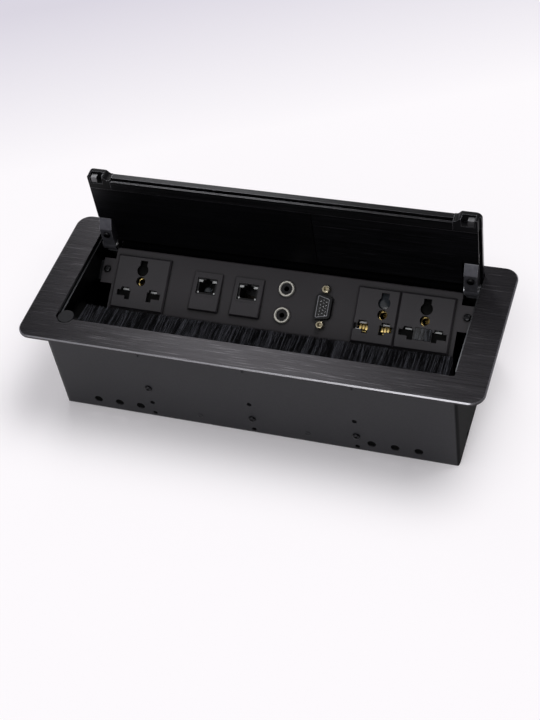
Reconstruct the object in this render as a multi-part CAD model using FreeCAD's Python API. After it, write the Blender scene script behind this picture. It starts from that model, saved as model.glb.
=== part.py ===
import FreeCAD, Part
import math
import os

# Desk socket block. A pressed steel tray hangs in a cut-out of a table top from an aluminium
# trim plate. Inside it a sloping panel carries three mains sockets, two network jacks, two
# audio jacks and a video connector. A brush strip lets the leads out at the front, and a lid
# swings up behind the sockets on two cast arms.
# Millimetres. X runs along the length, -Y towards the user, +Z up, and the origin is the
# centre of the tray's base. The lid is modelled open and upright.

Vector = FreeCAD.Vector

# Trim plate
overall_height = 75.0        # base of the tray to the top of the trim plate
trim_length = 320.0
trim_depth = 120.0
trim_thickness = 2.0
trim_corner_radius = 10.0
trim_chamfer = 0.8
opening_length = 276.0
opening_front_rim = 12.6     # trim plate over the front of the tray's hollow
opening_back_rim = 0.1       # and over its back
opening_corner_radius = 1.5

# Tray
tray_length = 284.0
tray_depth = 107.0
tray_sheet = 1.2
tray_corner_radius = 4.0
tray_base_radius = 3.0
tray_lip_inset = 1.5         # the lip stops this far inside the edge of the trim plate
clamp_hole_radius = 3.0
clamp_hole_spacing = 16.0
clamp_hole_middle = 99.0     # middle hole of each group of three, from the centre
clamp_hole_height = 10.0
small_hole_radius = 1.75
small_hole_column = 73.0     # outer columns of small holes, from the centre
small_hole_heights = (31.0, 16.0, 5.0)
side_hole_radius = 2.5
side_hole_front = 30.0
side_hole_height = 6.0

# Lid, upright: thickness along Y, reach along Z
lid_wall_gap = 0.8           # open lid to the tray's back wall
lid_thickness = 8.0
lid_skin = 3.0
lid_reach = 60.0             # hinge axis to the free edge
lid_end_gap = 0.7            # closed lid to the ends of the opening
lid_overhang = 1.5           # skin beyond the deeper body at each end
edge_bar = 4.6               # thickness of the free edge above the groove
edge_groove = 2.0
edge_groove_depth = 4.0
edge_lip_recess = 1.0
edge_depth = 8.2             # depth of the thick free edge
rib_width = 2.0
rib_place = 30.0             # ribs, from the hinge axis
rear_rib_place = 5.6
liner_sheet = 1.2
liner_gap = 0.2
liner_seam = 24.0            # seam between the two liners, right of the centre
liner_seam_gap = 0.5

# Cast corners of the lid
cap_width = 17.8
cap_rise = 2.7               # beyond the free edge
cap_depth = 10.7
cap_shoulder = 4.5
cap_shoulder_foot = 2.0
cap_shoulder_round = 2.2
cap_corner_radius = 4.0
cap_recess_width = 9.0
cap_recess_depth = 6.2
cap_recess_margin = 3.3      # outer end of the corner to its recess
magnet_width = 4.2
magnet_thickness = 3.8
magnet_height = 4.7
magnet_gap = 0.6             # to the recess's outer wall
magnet_sink = 0.6            # below the lid's inner face

# Cast arms and hinge pins
arm_width = 9.0
arm_inset = 2.7              # end of the opening to the arm's outer side
arm_proud = 4.0              # the arm stands this far inside the liner's face
arm_block = 16.0
arm_ramp = 8.0
arm_bend = 2.5
arm_screw_rise = 11.5        # hinge axis to the screw
arm_screw_cover = 1.0        # skin left over the screw's end
lug_radius = 4.4
boss_height = 1.0            # towards the bracket
boss_gap = 0.3
pin_radius = 2.0
pin_clearance = 0.05
pin_head_radius = 3.5
pin_head = 1.3
clip_thickness = 0.7
clip_radius = 3.4
clip_mouth = 2.4
clip_gap = 0.2               # to the arm
bay_gap = 1.8                # arm to the shortened parts of the lid beside it

# End brackets
rail_front_gap = 6.7         # front edge of the opening to the rail
rail_depth = 9.0
rail_rest_gap = 0.3          # closed lid above the rail
rail_round = 2.0
bracket_sheet = 1.2
bracket_leg_front = 14.0
bracket_leg_back = 38.0
bracket_front_drop = 13.5    # how far below the rail's top each corner of the web lies
bracket_leg_drop = 36.0
bracket_back_drop = 31.5
bracket_ear_drop = 23.4
bracket_round = 6.0
bracket_foot = 12.0
panel_tab = 7.0              # tab behind the panel's ear
panel_tab_margin = 2.0

# Socket panel, in its own slope: along X, up the slope, and out of the face
panel_tilt = 33.0
panel_slope = 45.5
panel_sheet = 1.5
panel_lid_gap = 1.1          # top edge to the open lid
panel_top_gap = 1.2          # top edge to the closed lid
panel_width = 268.0
panel_narrow_width = 250.4
panel_ear_start = 18.0
panel_notch_start = 36.0
panel_notch_gap = 0.9
panel_bend_radius = 3.0
panel_return = 7.0
panel_foot = 9.0
panel_screw_slope = 28.0
panel_screw_place = 130.6
cutout_gap = 0.2             # round the skirts of the modules

# Mains sockets
cover_height = 38.4
cover_margin = 1.2           # bottom edge of the panel to a cover
cover_proud = 2.0
cover_bevel = 1.0
cover_rim = 1.5
cover_wall = 1.4
cover_skirt = 9.0
left_cover_width = 40.4
left_cover_place = -102.7
middle_cover_width = 29.6
middle_cover_place = 69.4
right_cover_width = 37.8
right_cover_place = 103.1
slot_pitch = 22.0            # between the two current slots
narrow_slot_pitch = 17.0
narrow_earth_shift = 4.5     # the narrow socket's earth holes sit right of its middle
slot_middle = 11.2           # up the cover
slot_inner = 4.6             # stepped slot, from its middle: towards the other slot
slot_outer = 5.4
slot_leg = 0.8               # the deeper leg ends here
step_inner = 3.4
step_outer = 3.0
step_crest = 2.2
slot_foot = 4.6              # and from its middle downwards and upwards
slot_sill = 2.2
slot_head = 1.9
slot_shelf = 2.4
slot_crest = 4.2
earth_hole_radius = 3.4
earth_hole_place = 20.6
earth_key_radius = 4.2
earth_key_place = 28.6
earth_key_width = 5.4
earth_key_top = 35.6
shutter_thickness = 2.0
shutter_clearance = 0.3
shutter_travel = 7.0
shutter_pad = 7.2            # height of the part that blocks the slots
shutter_drop = 4.9           # its lower edge, below the middle of the slots
shutter_ramp = 1.4
shutter_leg = 3.2
shutter_window = 8.4         # opening between the right socket's slots
window_bar = 0.8             # left standing between it and a slot
fork_gap = 0.9               # round the key hole
shutter_gap = 0.6            # to what it stops short of, pushed fully up
base_depth = 17.0
base_fit = 0.15
contact_sheet = 0.6
contact_top = 3.2            # below the panel's face
contact_length = 15.0
contact_fit = 0.3            # in its pocket
contact_mouth = 2.0          # from its top to where it grips
contact_grip = 1.0           # how far each blade leans in
current_pocket = 4.2         # half widths of the contacts' pockets
current_pocket_height = 3.4
earth_pocket = 3.9
key_pocket = 3.0
key_pocket_rise = 1.5
pocket_wall = 0.25
tab_width = 6.3
tab_length = 15.0
tab_fit = 0.1

# Name, middle, width, slot pitch, earth shift, window for the shutter, and shutter of each socket
sockets = (
    ("left", left_cover_place, left_cover_width, slot_pitch, 0.0, False, True),
    ("middle", middle_cover_place, middle_cover_width, narrow_slot_pitch, narrow_earth_shift,
     False, False),
    ("right", right_cover_place, right_cover_width, slot_pitch, 0.0, True, True),
)

# Network jacks
bezel_width = 21.5
bezel_height = 27.7
bezel_margin = 6.8
bezel_proud = 2.6            # at its lower edge
bezel_thin = 1.0             # at its upper edge
bezel_bevel = 0.6
bezel_lean = 1.1             # its lower side leans back by this much
bezel_rim = 1.1
bezel_wall = 1.2
bezel_skirt = 4.0
bezel_line_drop = 1.3        # raised line below the window
bezel_line = 0.2
bezel_places = (-53.4, -22.9)
window_width = 14.6
window_height = 11.6
window_place = 18.0          # up the bezel
jack_depth = 20.0
jack_fit = 0.1
jack_face = 0.5              # above the panel's face
port_width = 11.8
port_height = 7.2
port_depth = 13.0
port_sink = 0.8              # middle of the port below the middle of the window
latch_width = 6.2
latch_height = 1.6
key_width = 3.1
key_height = 2.7
jack_pins = 8
jack_pin_pitch = 1.02
jack_wire = 0.4
pin_root = 9.6               # wires: below the panel's face where they leave the floor
pin_tip = 4.9
pin_rise = 3.2
lamp_width = 3.0
lamp_height = 1.5
lamp_drop = 1.4
lamp_inset = 0.7
lamp_radius = 0.7
lamp_proud = 0.3

# Audio jacks
audio_place = 4.2
audio_slopes = (30.8, 12.2)
audio_ring_radius = 5.6
audio_bush_radius = 4.0
audio_bore_radius = 1.8
audio_proud = 1.8
audio_sink = 1.0             # bush below the nut's face
audio_depth = 14.0
audio_floor = 1.5
audio_body = 5.0             # half width of the body behind the panel

# Video connector, standing on end
video_place = 32.4
video_slope = 21.3
video_screw_spacing = 25.0
video_width = 11.4
video_height = 18.8
video_corner_radius = 2.4
video_taper = 10.0
video_wall = 1.5
video_shell = 0.5
video_proud = 3.2
video_shell_proud = 0.4
video_flange_width = 13.5
video_flange_height = 31.0
video_flange = 1.0
video_insert_face = 2.6
video_insert_depth = 9.0
video_rows = 3
video_row_count = 5
video_pitch = 2.29
video_row_pitch = 1.98
video_stagger = 0.25         # share of the pitch
video_hole_radius = 0.6
video_hole_depth = 2.0
hex_radius = 2.75
hex_height = 4.2
hex_bore_radius = 1.1
hex_bore_depth = 3.0

# Brush strip and the plug in the corner
channel_sheet = 1.2
channel_height = 6.0
channel_reach = 11.0
channel_leg = 12.0
crimp_height = 3.2
crimp_length = 7.0
crimp_sheet = 0.6
crimp_gap = 0.3
bristle_gap = 0.05           # root of the bristles in the crimp
brush_thickness = 2.6
brush_length = 24.0          # out of its crimp
brush_swell = 3.0
brush_droop = 0.6
tuft_pitch = 6.4
tuft_groove = 0.9            # depth of the furrow between two tufts
tuft_gap = 0.7               # half its width at the top
brush_left = 124.3
brush_right = 133.0
plug_place = 130.7
plug_inset = 1.9             # its middle behind the front edge of the opening
plug_radius = 5.7
plug_gap = 0.4
plug_proud = 0.2
plug_thickness = 2.2
plug_stem_radius = 3.0

# Cord clips, cable entries and screws
cord_clip_width = 12.0
cord_clip_leg = 22.0
cord_clip_shelf = 10.0
cord_clip_lip = 5.0
cord_clip_drop = 7.3         # foot of the clip below its screw
cord_clip_bend = 2.0
entry_height = 30.0
entry_head = 3.0
entry_neck = 5.0
mains_entry_place = 60.0
mains_entry_radii = (8.0, 6.2, 3.8)      # head, neck and bore
data_entry_place = -60.0
data_entry_radii = (11.0, 9.0, 6.5)
screw_radius = 1.5
screw_head_radius = 2.6
screw_head = 1.4
screw_tail = 1.2             # a screw's end past the sheets it holds

# Shared small values
over = 1.0                   # cutters run this far past the faces they open
weld = 0.1                   # pieces of one solid sink this far into each other
close = 1e-6
few_sides = 10               # of small holes and shanks, which repeat
head_sides = 16              # of screw heads and clips
ring_sides = 24              # of the audio jacks' nuts and the bushings
hex_sides = 6
small_round = 0.6
soft_round = 1.0
edge_half = 0.49             # share of an edge that a rounded corner may take: from both ends
edge_whole = 0.99            # or from one end

# Worked out from the sizes above
top = overall_height
half_opening = opening_length / 2
inner_x = tray_length / 2 - tray_sheet
inner_y = tray_depth / 2 - tray_sheet
tray_top = top - trim_thickness
opening_front = inner_y - opening_front_rim
opening_back = inner_y - opening_back_rim
rail_front = opening_front - rail_front_gap
plug_front = opening_front - plug_inset
hinge_back = inner_y - lid_wall_gap - lid_thickness
hinge_z = top - lid_thickness
lid_inside = lid_thickness - lid_skin
lid_end = half_opening - lid_end_gap
body_end = lid_end - lid_overhang
edge_start = lid_reach - edge_depth
cap_heel = lid_reach + cap_rise - cap_depth
arm_outer = half_opening - arm_inset
arm_inner = arm_outer - arm_width
arm_middle = (arm_inner + arm_outer) / 2
arm_screw_z = hinge_z + arm_screw_rise
bay_start = arm_inner - bay_gap
bracket_inner = arm_outer + boss_height + boss_gap
bracket_outer = bracket_inner + bracket_sheet
rail_top = top - lid_skin - rail_rest_gap
tilt = math.radians(panel_tilt)
panel_top_y = hinge_back - panel_lid_gap
panel_top_z = hinge_z - panel_top_gap
panel_y = panel_top_y - panel_slope * math.cos(tilt)
panel_z = panel_top_z - panel_slope * math.sin(tilt)
port_floor = bezel_margin + window_place - port_height / 2 - port_sink

parts = {}


# Shapes that the pieces share

def box(x0, x1, y0, y1, z0, z1):
    """A block between two corners."""
    return Part.makeBox(x1 - x0, y1 - y0, z1 - z0, Vector(x0, y0, z0))


def outline(corners):
    """A closed wire in the XY plane through (x, y) or (x, y, radius) corners."""
    points = [Vector(c[0], c[1], 0) for c in corners]
    radii = [c[2] if len(c) > 2 else 0.0 for c in corners]
    count = len(points)
    cuts = []
    for i in range(count):
        back = points[i - 1] - points[i]
        ahead = points[(i + 1) % count] - points[i]
        if not radii[i]:
            cuts.append(None)
            continue
        half = back.getAngle(ahead) / 2
        room_back = back.Length * (edge_half if radii[i - 1] else edge_whole)
        room_ahead = ahead.Length * (edge_half if radii[(i + 1) % count] else edge_whole)
        reach = min(radii[i] / math.tan(half), room_back, room_ahead)
        radius = reach * math.tan(half)
        u = Vector(back).normalize()
        v = Vector(ahead).normalize()
        middle = Vector(u + v).normalize()
        depth = radius / math.sin(half) - radius
        cuts.append((points[i] + u * reach, points[i] + middle * depth, points[i] + v * reach))
    edges = []
    for i in range(count):
        j = (i + 1) % count
        if cuts[i]:
            edges.append(Part.Arc(*cuts[i]).toShape())
        start = cuts[i][2] if cuts[i] else points[i]
        end = cuts[j][0] if cuts[j] else points[j]
        if (end - start).Length > close:
            edges.append(Part.LineSegment(start, end).toShape())
    return Part.Wire(edges)


def prism(corners, z0, z1):
    """An outline in the XY plane, raised from z0 to z1."""
    solid = Part.Face(outline(corners)).extrude(Vector(0, 0, z1 - z0))
    solid.translate(Vector(0, 0, z0))
    return solid


def bar(corners, x0, x1):
    """A (y, z) section carried along X from x0 to x1."""
    solid = Part.Face(outline(corners)).extrude(Vector(0, 0, x1 - x0))
    solid.Placement = FreeCAD.Placement(
        Vector(x0, 0, 0), FreeCAD.Rotation(Vector(1, 1, 1), 120))
    return solid


def rect(x0, x1, y0, y1, radius=0.0):
    """The four corners of a rectangle, for outline()."""
    return [(x0, y0, radius), (x1, y0, radius), (x1, y1, radius), (x0, y1, radius)]


def polygon(x, y, radius, sides):
    """The corners of a regular polygon, for outline()."""
    turns = [2 * math.pi * i / sides for i in range(sides)]
    return [(x + radius * math.cos(a), y + radius * math.sin(a)) for a in turns]


def rod(x, y, z, radius, length, direction):
    """A cylinder from a point along a direction."""
    return Part.makeCylinder(radius, length, Vector(x, y, z), Vector(*direction))


def facing(shape, x, y, z, direction):
    """Move a shape drawn along +Z to a point, with +Z turned to a direction."""
    moved = shape.copy()
    moved.Placement = FreeCAD.Placement(
        Vector(x, y, z), FreeCAD.Rotation(Vector(0, 0, 1), Vector(*direction)))
    return moved


def stud(x, y, z, radius, length, direction, sides=few_sides):
    """A round that repeats, drawn with few sides, from a point along a direction."""
    return facing(prism(polygon(0, 0, radius, sides), 0, length), x, y, z, direction)


def on_panel(shape):
    """Lay a shape drawn flat on the sloping panel: X along, Y up the slope, Z outwards."""
    lifted = shape.copy()
    lifted.Placement = FreeCAD.Placement(
        Vector(0, panel_y, panel_z), FreeCAD.Rotation(Vector(1, 0, 0), panel_tilt)
    ).multiply(shape.Placement)
    return lifted


def mirrored(shape):
    """The other hand of a piece."""
    return shape.mirror(Vector(0, 0, 0), Vector(1, 0, 0))


def top_edges(shape, height):
    """The edges of a shape that lie wholly at a height."""
    return [e for e in shape.Edges
            if e.BoundBox.ZMin > height - close and e.BoundBox.ZMax < height + close]


def screw(grip):
    """A plain screw along +Z: its head below the origin, its shank through the grip."""
    head = stud(0, 0, -screw_head, screw_head_radius, screw_head, (0, 0, 1), head_sides)
    return head.fuse(stud(0, 0, -weld, screw_radius, grip + screw_tail + weld, (0, 0, 1)))


# Tray

def make_tray():
    """A pressed box with an outward lip all round and the holes of its walls."""
    hx, hy = tray_length / 2, tray_depth / 2
    r = tray_base_radius
    outer = prism(rect(-hx, hx, -hy, hy, tray_corner_radius), 0, tray_top)
    folds = bar([(-hy, 0, r), (hy, 0, r), (hy, tray_top), (-hy, tray_top)], -hx, hx)
    ends = bar([(-hx, 0, r), (hx, 0, r), (hx, tray_top), (-hx, tray_top)], -hy, hy)
    ends.rotate(Vector(0, 0, 0), Vector(0, 0, 1), 90)
    outer = outer.common(folds).common(ends)
    inner = prism(rect(-inner_x, inner_x, -inner_y, inner_y, tray_corner_radius - tray_sheet),
                  tray_sheet, top)
    lx = trim_length / 2 - tray_lip_inset
    ly = trim_depth / 2 - tray_lip_inset
    lip = prism(rect(-lx, lx, -ly, ly, trim_corner_radius - tray_lip_inset),
                tray_top - tray_sheet, tray_top)
    tray = outer.fuse(lip).cut(inner)
    wall = tray_sheet + 2 * over
    front = -hy - over
    back = inner_y - over
    holes = []
    for side in (-1, 1):
        for step in (-1, 0, 1):
            x = side * clamp_hole_middle + step * clamp_hole_spacing
            holes.append(rod(x, front, clamp_hole_height, clamp_hole_radius, wall, (0, 1, 0)))
        holes.append(rod(side * (inner_x - over), -side_hole_front, side_hole_height,
                         side_hole_radius, wall, (side, 0, 0)))
    for x in (-small_hole_column, 0, small_hole_column):
        for z in small_hole_heights:
            holes.append(stud(x, front, z, small_hole_radius, wall, (0, 1, 0)))
    for place, radii in ((mains_entry_place, mains_entry_radii),
                         (data_entry_place, data_entry_radii)):
        holes.append(stud(place, back, entry_height, radii[1], wall, (0, 1, 0), ring_sides))
    return tray.cut(Part.makeCompound(holes)).removeSplitter()


def make_entry(place, radii):
    """A snap-in bushing that guards the leads in the back wall."""
    head_radius, neck_radius, bore_radius = radii
    y = tray_depth / 2
    head = stud(place, y, entry_height, head_radius, entry_head, (0, 1, 0), ring_sides)
    neck = stud(place, y - entry_neck, entry_height, neck_radius, entry_neck, (0, 1, 0),
                ring_sides)
    bore = rod(place, y - entry_neck - over, entry_height, bore_radius,
               entry_neck + entry_head + 2 * over, (0, 1, 0))
    return head.fuse(neck).cut(bore)


# Trim plate

def make_trim():
    """A brushed plate with a bright chamfer, the lid's opening and a notch for the plug."""
    hx, hy = trim_length / 2, trim_depth / 2
    plate = prism(rect(-hx, hx, -hy, hy, trim_corner_radius), tray_top, top)
    plate = plate.makeChamfer(trim_chamfer, top_edges(plate, top))
    opening = prism(rect(-half_opening, half_opening, -opening_front, opening_back,
                         opening_corner_radius), tray_top - over, top + over)
    notch = rod(-plug_place, -plug_front, tray_top - over, plug_radius + plug_gap,
                trim_thickness + 2 * over, (0, 0, 1))
    return plate.cut(opening.fuse(notch))


# End brackets: a rail that the closed lid rests on, the hinge's ear and the panel's tab

def make_bracket():
    """The right-hand bracket."""
    ear = hinge_back + (rail_top - hinge_z)
    plate = bar([
        (-rail_front, rail_top, rail_round),
        (-rail_front, rail_top - rail_depth, rail_round),
        (0, rail_top - bracket_front_drop, bracket_round),
        (bracket_leg_front, rail_top - bracket_leg_drop, bracket_round),
        (bracket_leg_front, tray_sheet),
        (bracket_leg_back, tray_sheet),
        (bracket_leg_back, rail_top - bracket_back_drop),
        (ear, rail_top - bracket_ear_drop),
        (ear, rail_top, rail_top - hinge_z),
    ], bracket_inner, bracket_outer)
    foot = box(bracket_inner - bracket_foot, bracket_outer, bracket_leg_front,
               bracket_leg_back, tray_sheet, tray_sheet + bracket_sheet)
    back = -panel_sheet - bracket_sheet
    tab = on_panel(box(panel_width / 2 - panel_tab, bracket_outer,
                       panel_ear_start + panel_tab_margin, panel_notch_start - panel_tab_margin,
                       back, -panel_sheet))
    wall = bracket_sheet + 2 * over
    pin = rod(bracket_inner - over, hinge_back, hinge_z, pin_radius, wall, (1, 0, 0))
    hole = on_panel(stud(panel_screw_place, panel_screw_slope, back - over, screw_radius, wall,
                         (0, 0, 1)))
    return plate.fuse(foot).fuse(tab).cut(pin).cut(hole).removeSplitter()


# Socket panel

def make_panel():
    """One folded sheet: foot, skirt, sloping face and a short return at the top."""
    t = panel_sheet
    turn = (math.pi / 2 - tilt) / 2
    slip = t * math.tan(turn)
    sine, cosine = math.sin(tilt), math.cos(tilt)
    floor = tray_sheet
    below_y = panel_top_y - t
    below_z = panel_top_z - t * sine / cosine - t / cosine
    section = [
        (panel_y, panel_z, panel_bend_radius),
        (panel_top_y, panel_top_z, soft_round),
        (panel_top_y, panel_top_z - panel_return),
        (below_y, panel_top_z - panel_return),
        (below_y, below_z),
        (panel_y + t, panel_z - slip, panel_bend_radius - t),
        (panel_y + t, floor + t, soft_round),
        (panel_y + panel_foot, floor + t),
        (panel_y + panel_foot, floor),
        (panel_y, floor, soft_round + t),
    ]
    half = panel_width / 2
    panel = bar(section, -half, half)
    reach = panel_slope + panel_return + over
    drop = panel_z + over
    cuts = []
    for side in (-1, 1):
        narrow = sorted((side * panel_narrow_width / 2, side * (half + over)))
        cuts.append(on_panel(box(*narrow, -drop, panel_ear_start, -drop, over)))
        notch = sorted((side * (arm_inner - panel_notch_gap), side * (half + over)))
        cuts.append(on_panel(box(*notch, panel_notch_start, reach, -reach, reach)))
        for x, slope in ((side * panel_screw_place, panel_screw_slope),
                         (video_place, video_slope + side * video_screw_spacing / 2)):
            cuts.append(on_panel(stud(x, slope, -panel_sheet - over, screw_radius,
                                      panel_sheet + 2 * over, (0, 0, 1))))
    for _, place, width, _, _, _, _ in sockets:
        cuts.append(panel_window(place, width, cover_margin, cover_height, cover_rim))
    for place in bezel_places:
        cuts.append(panel_window(place, bezel_width, bezel_margin, bezel_height, bezel_rim))
    for slope in audio_slopes:
        cuts.append(on_panel(stud(audio_place, slope, -panel_sheet - over, audio_bush_radius,
                                  panel_sheet + 2 * over, (0, 0, 1), ring_sides)))
    cuts.append(on_panel(prism(video_outline(cutout_gap), -panel_sheet - over, over)))
    return panel.cut(Part.makeCompound(cuts))


def panel_window(place, width, margin, height, rim):
    """A cutter for a module's cut-out, which the module's rim covers."""
    half = width / 2 - rim + cutout_gap
    low = margin + rim - cutout_gap
    high = margin + height - rim + cutout_gap
    return on_panel(box(place - half, place + half, low, high, -panel_sheet - over, over))


def make_panel_screws():
    """One screw in each ear."""
    piece = screw(panel_sheet + bracket_sheet)
    return Part.makeCompound([
        on_panel(facing(piece, side * panel_screw_place, panel_screw_slope, 0, (0, 0, -1)))
        for side in (-1, 1)])


# Mains sockets

def slot_outline(middle, hand):
    """The stepped hole that takes flat and round pins; hand is +1 for the right-hand slot."""
    y = cover_margin + slot_middle
    steps = [(-slot_inner, slot_shelf), (-slot_inner, -slot_foot), (-slot_leg, -slot_foot),
             (-slot_leg, -slot_sill), (slot_outer, -slot_sill), (slot_outer, slot_head),
             (step_outer, slot_head), (step_crest, slot_crest), (-step_inner, slot_crest),
             (-step_inner, slot_shelf)]
    corners = [(middle + hand * dx, y + dy) for dx, dy in steps]
    return corners if hand > 0 else corners[::-1]


def earth_cutters(middle, z0, z1):
    """The round hole and the key-shaped hole above it."""
    y = cover_margin
    low = rod(middle, y + earth_hole_place, z0, earth_hole_radius, z1 - z0, (0, 0, 1))
    key = rod(middle, y + earth_key_place, z0, earth_key_radius, z1 - z0, (0, 0, 1))
    slot = box(middle - earth_key_width / 2, middle + earth_key_width / 2,
               y + earth_key_place, y + earth_key_top, z0, z1)
    return low.fuse(key).fuse(slot)


def make_cover(place, width, pitch, shift, window):
    """A moulded face with bevelled edges, its pin holes and a skirt behind it."""
    x0, x1 = place - width / 2, place + width / 2
    y0, y1 = cover_margin, cover_margin + cover_height
    face = box(x0, x1, y0, y1, 0, cover_proud)
    face = face.makeChamfer(cover_bevel, top_edges(face, cover_proud))
    r, w = cover_rim, cover_rim + cover_wall
    skirt = box(x0 + r, x1 - r, y0 + r, y1 - r, -cover_skirt, weld)
    hollow = box(x0 + w, x1 - w, y0 + w, y1 - w, -cover_skirt - over, 0)
    cover = face.fuse(skirt).cut(hollow)
    cuts = [prism(slot_outline(place + hand * pitch / 2, hand), -over, cover_proud + over)
            for hand in (-1, 1)]
    cuts.append(earth_cutters(place + shift, -over, cover_proud + over))
    if window:
        half = pitch / 2 - slot_inner - window_bar
        low = y0 + slot_middle - shutter_window / 2
        cuts.append(box(place - half, place + half, low, low + shutter_window, -over,
                        cover_proud + over))
    return on_panel(cover.cut(Part.makeCompound(cuts)))


def contact_pockets(place, width, pitch, shift):
    """Middle and half size of the pocket of each contact: two current, two earth."""
    y = cover_margin
    room = (width - pitch) / 2 - cover_rim - cover_wall - base_fit - pocket_wall
    half = min(current_pocket, room)
    return ((place - pitch / 2, y + slot_middle, half, current_pocket_height),
            (place + pitch / 2, y + slot_middle, half, current_pocket_height),
            (place + shift, y + earth_hole_place, earth_pocket, earth_pocket),
            (place + shift, y + earth_key_place + key_pocket_rise, earth_pocket, key_pocket))


def make_base(place, width, pitch, shift):
    """The housing behind a cover, with a pocket for each contact and a slit for its tab."""
    r, w = cover_rim, cover_rim + cover_wall + base_fit
    x0, x1 = place - width / 2, place + width / 2
    y0, y1 = cover_margin, cover_margin + cover_height
    back = -cover_skirt - base_depth
    block = box(x0 + r, x1 - r, y0 + r, y1 - r, back, -cover_skirt)
    spigot = box(x0 + w, x1 - w, y0 + w, y1 - w, -cover_skirt - weld,
                 -contact_top - contact_mouth)
    floor = -contact_top - contact_length
    half_tab, half_slit = tab_width / 2 + tab_fit, contact_sheet / 2 + tab_fit
    cuts = []
    for x, y, half_x, half_y in contact_pockets(place, width, pitch, shift):
        cuts.append(box(x - half_x, x + half_x, y - half_y, y + half_y, floor, 0))
        cuts.append(box(x - half_tab, x + half_tab, y - half_slit, y + half_slit, back - over,
                        floor + weld))
    return on_panel(block.fuse(spigot).cut(Part.makeCompound(cuts)))


def make_contacts(place, width, pitch, shift):
    """A bent clip in each pocket, with a tab through the back for its wire."""
    t = contact_sheet
    top_z = -contact_top
    grip_z = top_z - contact_mouth
    floor = top_z - contact_length
    middle = floor + contact_length / 2
    solids = []
    for x, y, half_x, half_y in contact_pockets(place, width, pitch, shift):
        wide = half_y - contact_fit
        mouth = wide - contact_grip
        right = [(wide, floor), (wide, middle), (mouth, grip_z), (wide, top_z),
                 (wide - t, top_z), (mouth - t, grip_z), (wide - t, middle), (wide - t, floor + t)]
        section = right + [(-across, up) for across, up in right[::-1]]
        clip = bar(section, x - half_x + contact_fit, x + half_x - contact_fit)
        clip.translate(Vector(0, y, 0))
        half_tab = tab_width / 2 if half_x > tab_width / 2 + contact_fit else half_x - contact_fit
        tab = box(x - half_tab, x + half_tab, y - t / 2, y + t / 2, floor - tab_length,
                  floor + t / 2)
        solids.append(on_panel(clip.fuse(tab)))
    return Part.makeCompound(solids)


def make_shutter(place, width, shift):
    """A plate that blocks the current slots and slides up the slope on two legs."""
    half = width / 2 - cover_rim - cover_wall - shutter_clearance
    y0 = cover_margin + slot_middle - shutter_drop
    y1 = y0 + shutter_pad
    leg_top = (cover_margin + cover_height - cover_rim - cover_wall - shutter_travel
               - shutter_gap)
    fork = earth_key_radius + fork_gap
    notch = cover_margin + earth_hole_place - earth_hole_radius - shutter_travel - shutter_gap
    z1 = -shutter_clearance
    z0 = z1 - shutter_thickness
    leg = half - shutter_leg
    corners = [(-half, y0), (half, y0), (half, leg_top), (leg, leg_top), (leg, y1),
               (shift + fork, y1), (shift + fork, notch), (shift - fork, notch),
               (shift - fork, y1), (-leg, y1), (-leg, leg_top), (-half, leg_top)]
    plate = prism([(place + x, y) for x, y in corners], z0, z1)
    ramp = bar([(y0 - over, z1 + over), (y0 - over, z0), (y0 + shutter_ramp, z1 + over)],
               place - half - over, place + half + over)
    return on_panel(plate.cut(ramp))


# Network jacks

def make_bezel(place):
    """A wedge-shaped frame round the jack's window, clipped in the panel by a short skirt."""
    x0, x1 = place - bezel_width / 2, place + bezel_width / 2
    y0, y1 = bezel_margin, bezel_margin + bezel_height
    frame = bar([(y0, 0), (y1, 0), (y1, bezel_thin), (y0 + bezel_lean, bezel_proud)], x0, x1)
    rims = [e for e in frame.Edges
            if e.BoundBox.ZMin > bezel_thin - close and e.BoundBox.XLength < close]
    frame = frame.makeChamfer(bezel_bevel, rims)
    r = bezel_rim
    skirt = box(x0 + r, x1 - r, y0 + r, y1 - r, -bezel_skirt, weld)
    y = bezel_margin + window_place
    half, tall = window_width / 2, window_height / 2
    window = box(place - half, place + half, y - tall, y + tall, -bezel_skirt - over,
                 bezel_proud + over)
    inner = r + bezel_wall
    hollow = box(x0 + inner, x1 - inner, y0 + inner, y - tall - bezel_wall,
                 -bezel_skirt - over, 0)
    line = y - tall - bezel_line_drop
    share = (line - bezel_margin) / bezel_height
    face = bezel_proud + (bezel_thin - bezel_proud) * share
    rib = box(place - half, place + half, line - bezel_line, line + bezel_line, face - bezel_line,
              face + bezel_line)
    return on_panel(frame.fuse(skirt).cut(window).cut(hollow).fuse(rib))


def port_corners(place):
    """The outline of a jack's port: wide below, stepped for the latch above."""
    y = port_floor
    wide, latch, key = port_width / 2, latch_width / 2, key_width / 2
    step, crest = y + port_height + latch_height, y + port_height + key_height
    right = [(wide, y), (wide, y + port_height), (latch, y + port_height), (latch, step),
             (key, step), (key, crest)]
    corners = right + [(-across, up) for across, up in right[::-1]]
    return [(place + across, up) for across, up in corners]


def make_jack(place):
    """The jack behind a bezel, with its stepped port."""
    y = bezel_margin + window_place
    half, tall = window_width / 2 - jack_fit, window_height / 2 - jack_fit
    body = box(place - half, place + half, y - tall, y + tall, -jack_depth, jack_face)
    return on_panel(body.cut(prism(port_corners(place), jack_face - port_depth, jack_face + over)))


def make_jack_pins(place):
    """Eight sprung wires that lean out of the floor of the port."""
    y = port_floor
    half = jack_wire / 2
    section = [(y, -pin_root), (y, -pin_root - 2 * jack_wire), (y + pin_rise, -pin_tip - jack_wire),
               (y + pin_rise, -pin_tip)]
    pins = []
    for i in range(jack_pins):
        x = place + (i - (jack_pins - 1) / 2) * jack_pin_pitch
        pins.append(on_panel(bar(section, x - half, x + half)))
    return Part.makeCompound(pins)


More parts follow.
